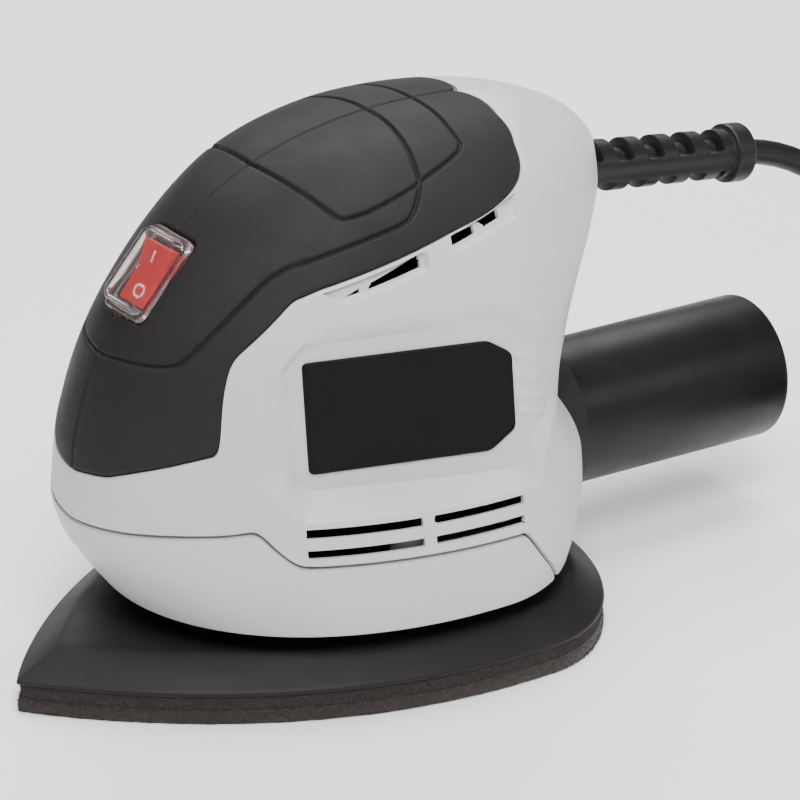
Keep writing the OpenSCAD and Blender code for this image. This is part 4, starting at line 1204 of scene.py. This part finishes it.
def coil_points():
    """Nine turns, each changing its place in the bundle over part of a turn."""
    start = math.atan2(CORD_PATH[-1][1] - COIL_CENTRE[1], CORD_PATH[-1][0] - COIL_CENTRE[0])
    stop = math.atan2(TAIL_PATH[0][1] - COIL_CENTRE[1], TAIL_PATH[0][0] - COIL_CENTRE[0])
    total = 2 * math.pi * len(WINDING) - ((stop - start) % (2 * math.pi))
    shift = math.radians(75)
    out = []
    count = 40 * len(WINDING)
    for k in range(1, count):
        turn = total * k / count
        place = min(int(turn / (2 * math.pi)), len(WINDING) - 1)
        into = turn - place * 2 * math.pi
        row, level = WINDING[place]
        r, z = COIL_ROWS[row], COIL_LEVELS[level]
        left = 2 * math.pi - into
        if place + 1 < len(WINDING) and left < shift:
            t = 1 - left / shift
            t = t * t * (3 - 2 * t)
            next_row, next_level = WINDING[place + 1]
            r += (COIL_ROWS[next_row] - r) * t
            z += (COIL_LEVELS[next_level] - z) * t
        angle = start - turn
        out.append(np.array([COIL_CENTRE[0] + r * math.cos(angle), COIL_CENTRE[1] + r * math.sin(angle), z]))
    return out


def cord_piece():
    route = catmull(CORD_PATH, 3.5) + coil_points() + catmull(TAIL_PATH, 3.5)
    smooth = [route[0]]
    for a, b, c in zip(route[:-2], route[1:-1], route[2:]):
        smooth.append((a + 2 * b + c) / 4)
    smooth.append(route[-1])
    curve = bpy.data.curves.new("mains_lead", "CURVE")
    curve.dimensions = "3D"
    curve.bevel_depth = CORD_D / 2 * MM
    curve.bevel_resolution = 5
    curve.use_fill_caps = True
    line = curve.splines.new("POLY")
    line.points.add(len(smooth) - 1)
    for spot, p in zip(line.points, smooth):
        spot.co = (*(p * MM), 1.0)
    curve.materials.append(FINISH["cord"])
    lead = link(bpy.data.objects.new("mains_lead", curve))
    length = sum(np.linalg.norm(b - a) for a, b in zip(smooth[:-1], smooth[1:])) * MM
    finish_piece(lead, "housing", "cord_rubber", "cord", "cord_coil")
    return lead, length, smooth[0] * MM


PLUG = Matrix.Translation((-187, 57.5, 17.1))


def plug_pieces():
    """A flat two-pin plug: a moulded body that narrows towards the cord, and two round pins."""
    outline = [(-4.5, 0), (4.5, 0), (9, 5), (16, 14), (17.6, 24), (17.6, 34), (-17.6, 34), (-17.6, 24),
               (-16, 14), (-9, 5)]
    outline = rounded_profile(outline, 3.0, 5)
    rings = []
    for height, inset in ((0, 2.2), (0.35, 1.1), (1.2, 0.35), (2.4, 0), (6.9, 0), (11.4, 0), (12.6, 0.35),
                          (13.45, 1.1), (13.8, 2.2)):
        ring = []
        for x, y in outline:
            aim = Vector((x, y - 18))
            aim *= 1 - inset / max(aim.length, 6)
            ring.append(tuple(PLUG @ Vector((aim.x, aim.y + 18, height))))
        rings.append(ring)
    body = lofted("plug_moulding", rings, "cord", 40.0)
    finish_piece(body, "housing", "plug_black", "plug_body")
    profile = [(0.001, 34.2), (1.98, 34.2), (1.98, 51.6), (1.6, 52.6), (0.9, 53.0), (0.001, 53.0)]
    turn = Matrix.Rotation(-math.pi / 2, 4, "X")
    pins = []
    for side in (-9.3, 9.3):
        place = PLUG @ Matrix.Translation((side, 0, 6.9)) @ turn
        pins.append(lathe("pin", profile, place, "nickel", 32))
    points, faces = [], []
    for pin in pins:
        start = len(points)
        points += [tuple(v.co / MM) for v in pin.data.vertices]
        faces += [tuple(start + i for i in p.vertices) for p in pin.data.polygons]
        bpy.data.objects.remove(pin)
    both = make_mesh("plug_contacts", points, faces, "nickel")
    finish_piece(both, "housing", "pin_nickel", "plug_pins")
    return body, both


def coil_tie():
    """A strap round the bundle, with rounded corners."""
    centre = Vector((COIL_CENTRE[0] + 31.0, COIL_CENTRE[1], 0))
    outer = rounded_profile([(-9.7, 0.05), (9.7, 0.05), (9.7, 18.2), (-9.7, 18.2)], 2.6, 6)
    inner = rounded_profile([(-8.65, 0.3), (8.65, 0.3), (8.65, 17.2), (-8.65, 17.2)], 2.0, 6)
    rings = []
    for y, loop in ((-2.5, inner), (-2.5, outer), (2.5, outer), (2.5, inner)):
        rings.append([tuple(centre + Vector((x, y, z))) for x, z in loop])
    strap = shell_of_rings("strap", rings, "strap", 30.0)
    finish_piece(strap, "housing", "tie_black", "coil_tie")
    return strap


lead, lead_length, lead_exit = cord_piece()
plug_moulding, plug_contacts = plug_pieces()
strap = coil_tie()


# ---- Floor ---------------------------------------------------------------------------
def studio_floor():
    mesh = bpy.data.meshes.new("floor")
    mesh.from_pydata([(-6, -6, 0), (6, -6, 0), (6, 6, 0), (-6, 6, 0)], [], [(0, 1, 2, 3)])
    surface = Surface("floor_paper")
    surface.colour(surface.noise(6.0, 2.0), (0.3, (0.95, 0.95, 0.95, 1)), (0.7, (0.97, 0.97, 0.97, 1)))
    surface.set(rough=0.9, specular=0.1)
    mesh.materials.append(surface.material)
    floor = link(bpy.data.objects.new("floor", mesh))
    floor.location.z = -0.0002


studio_floor()
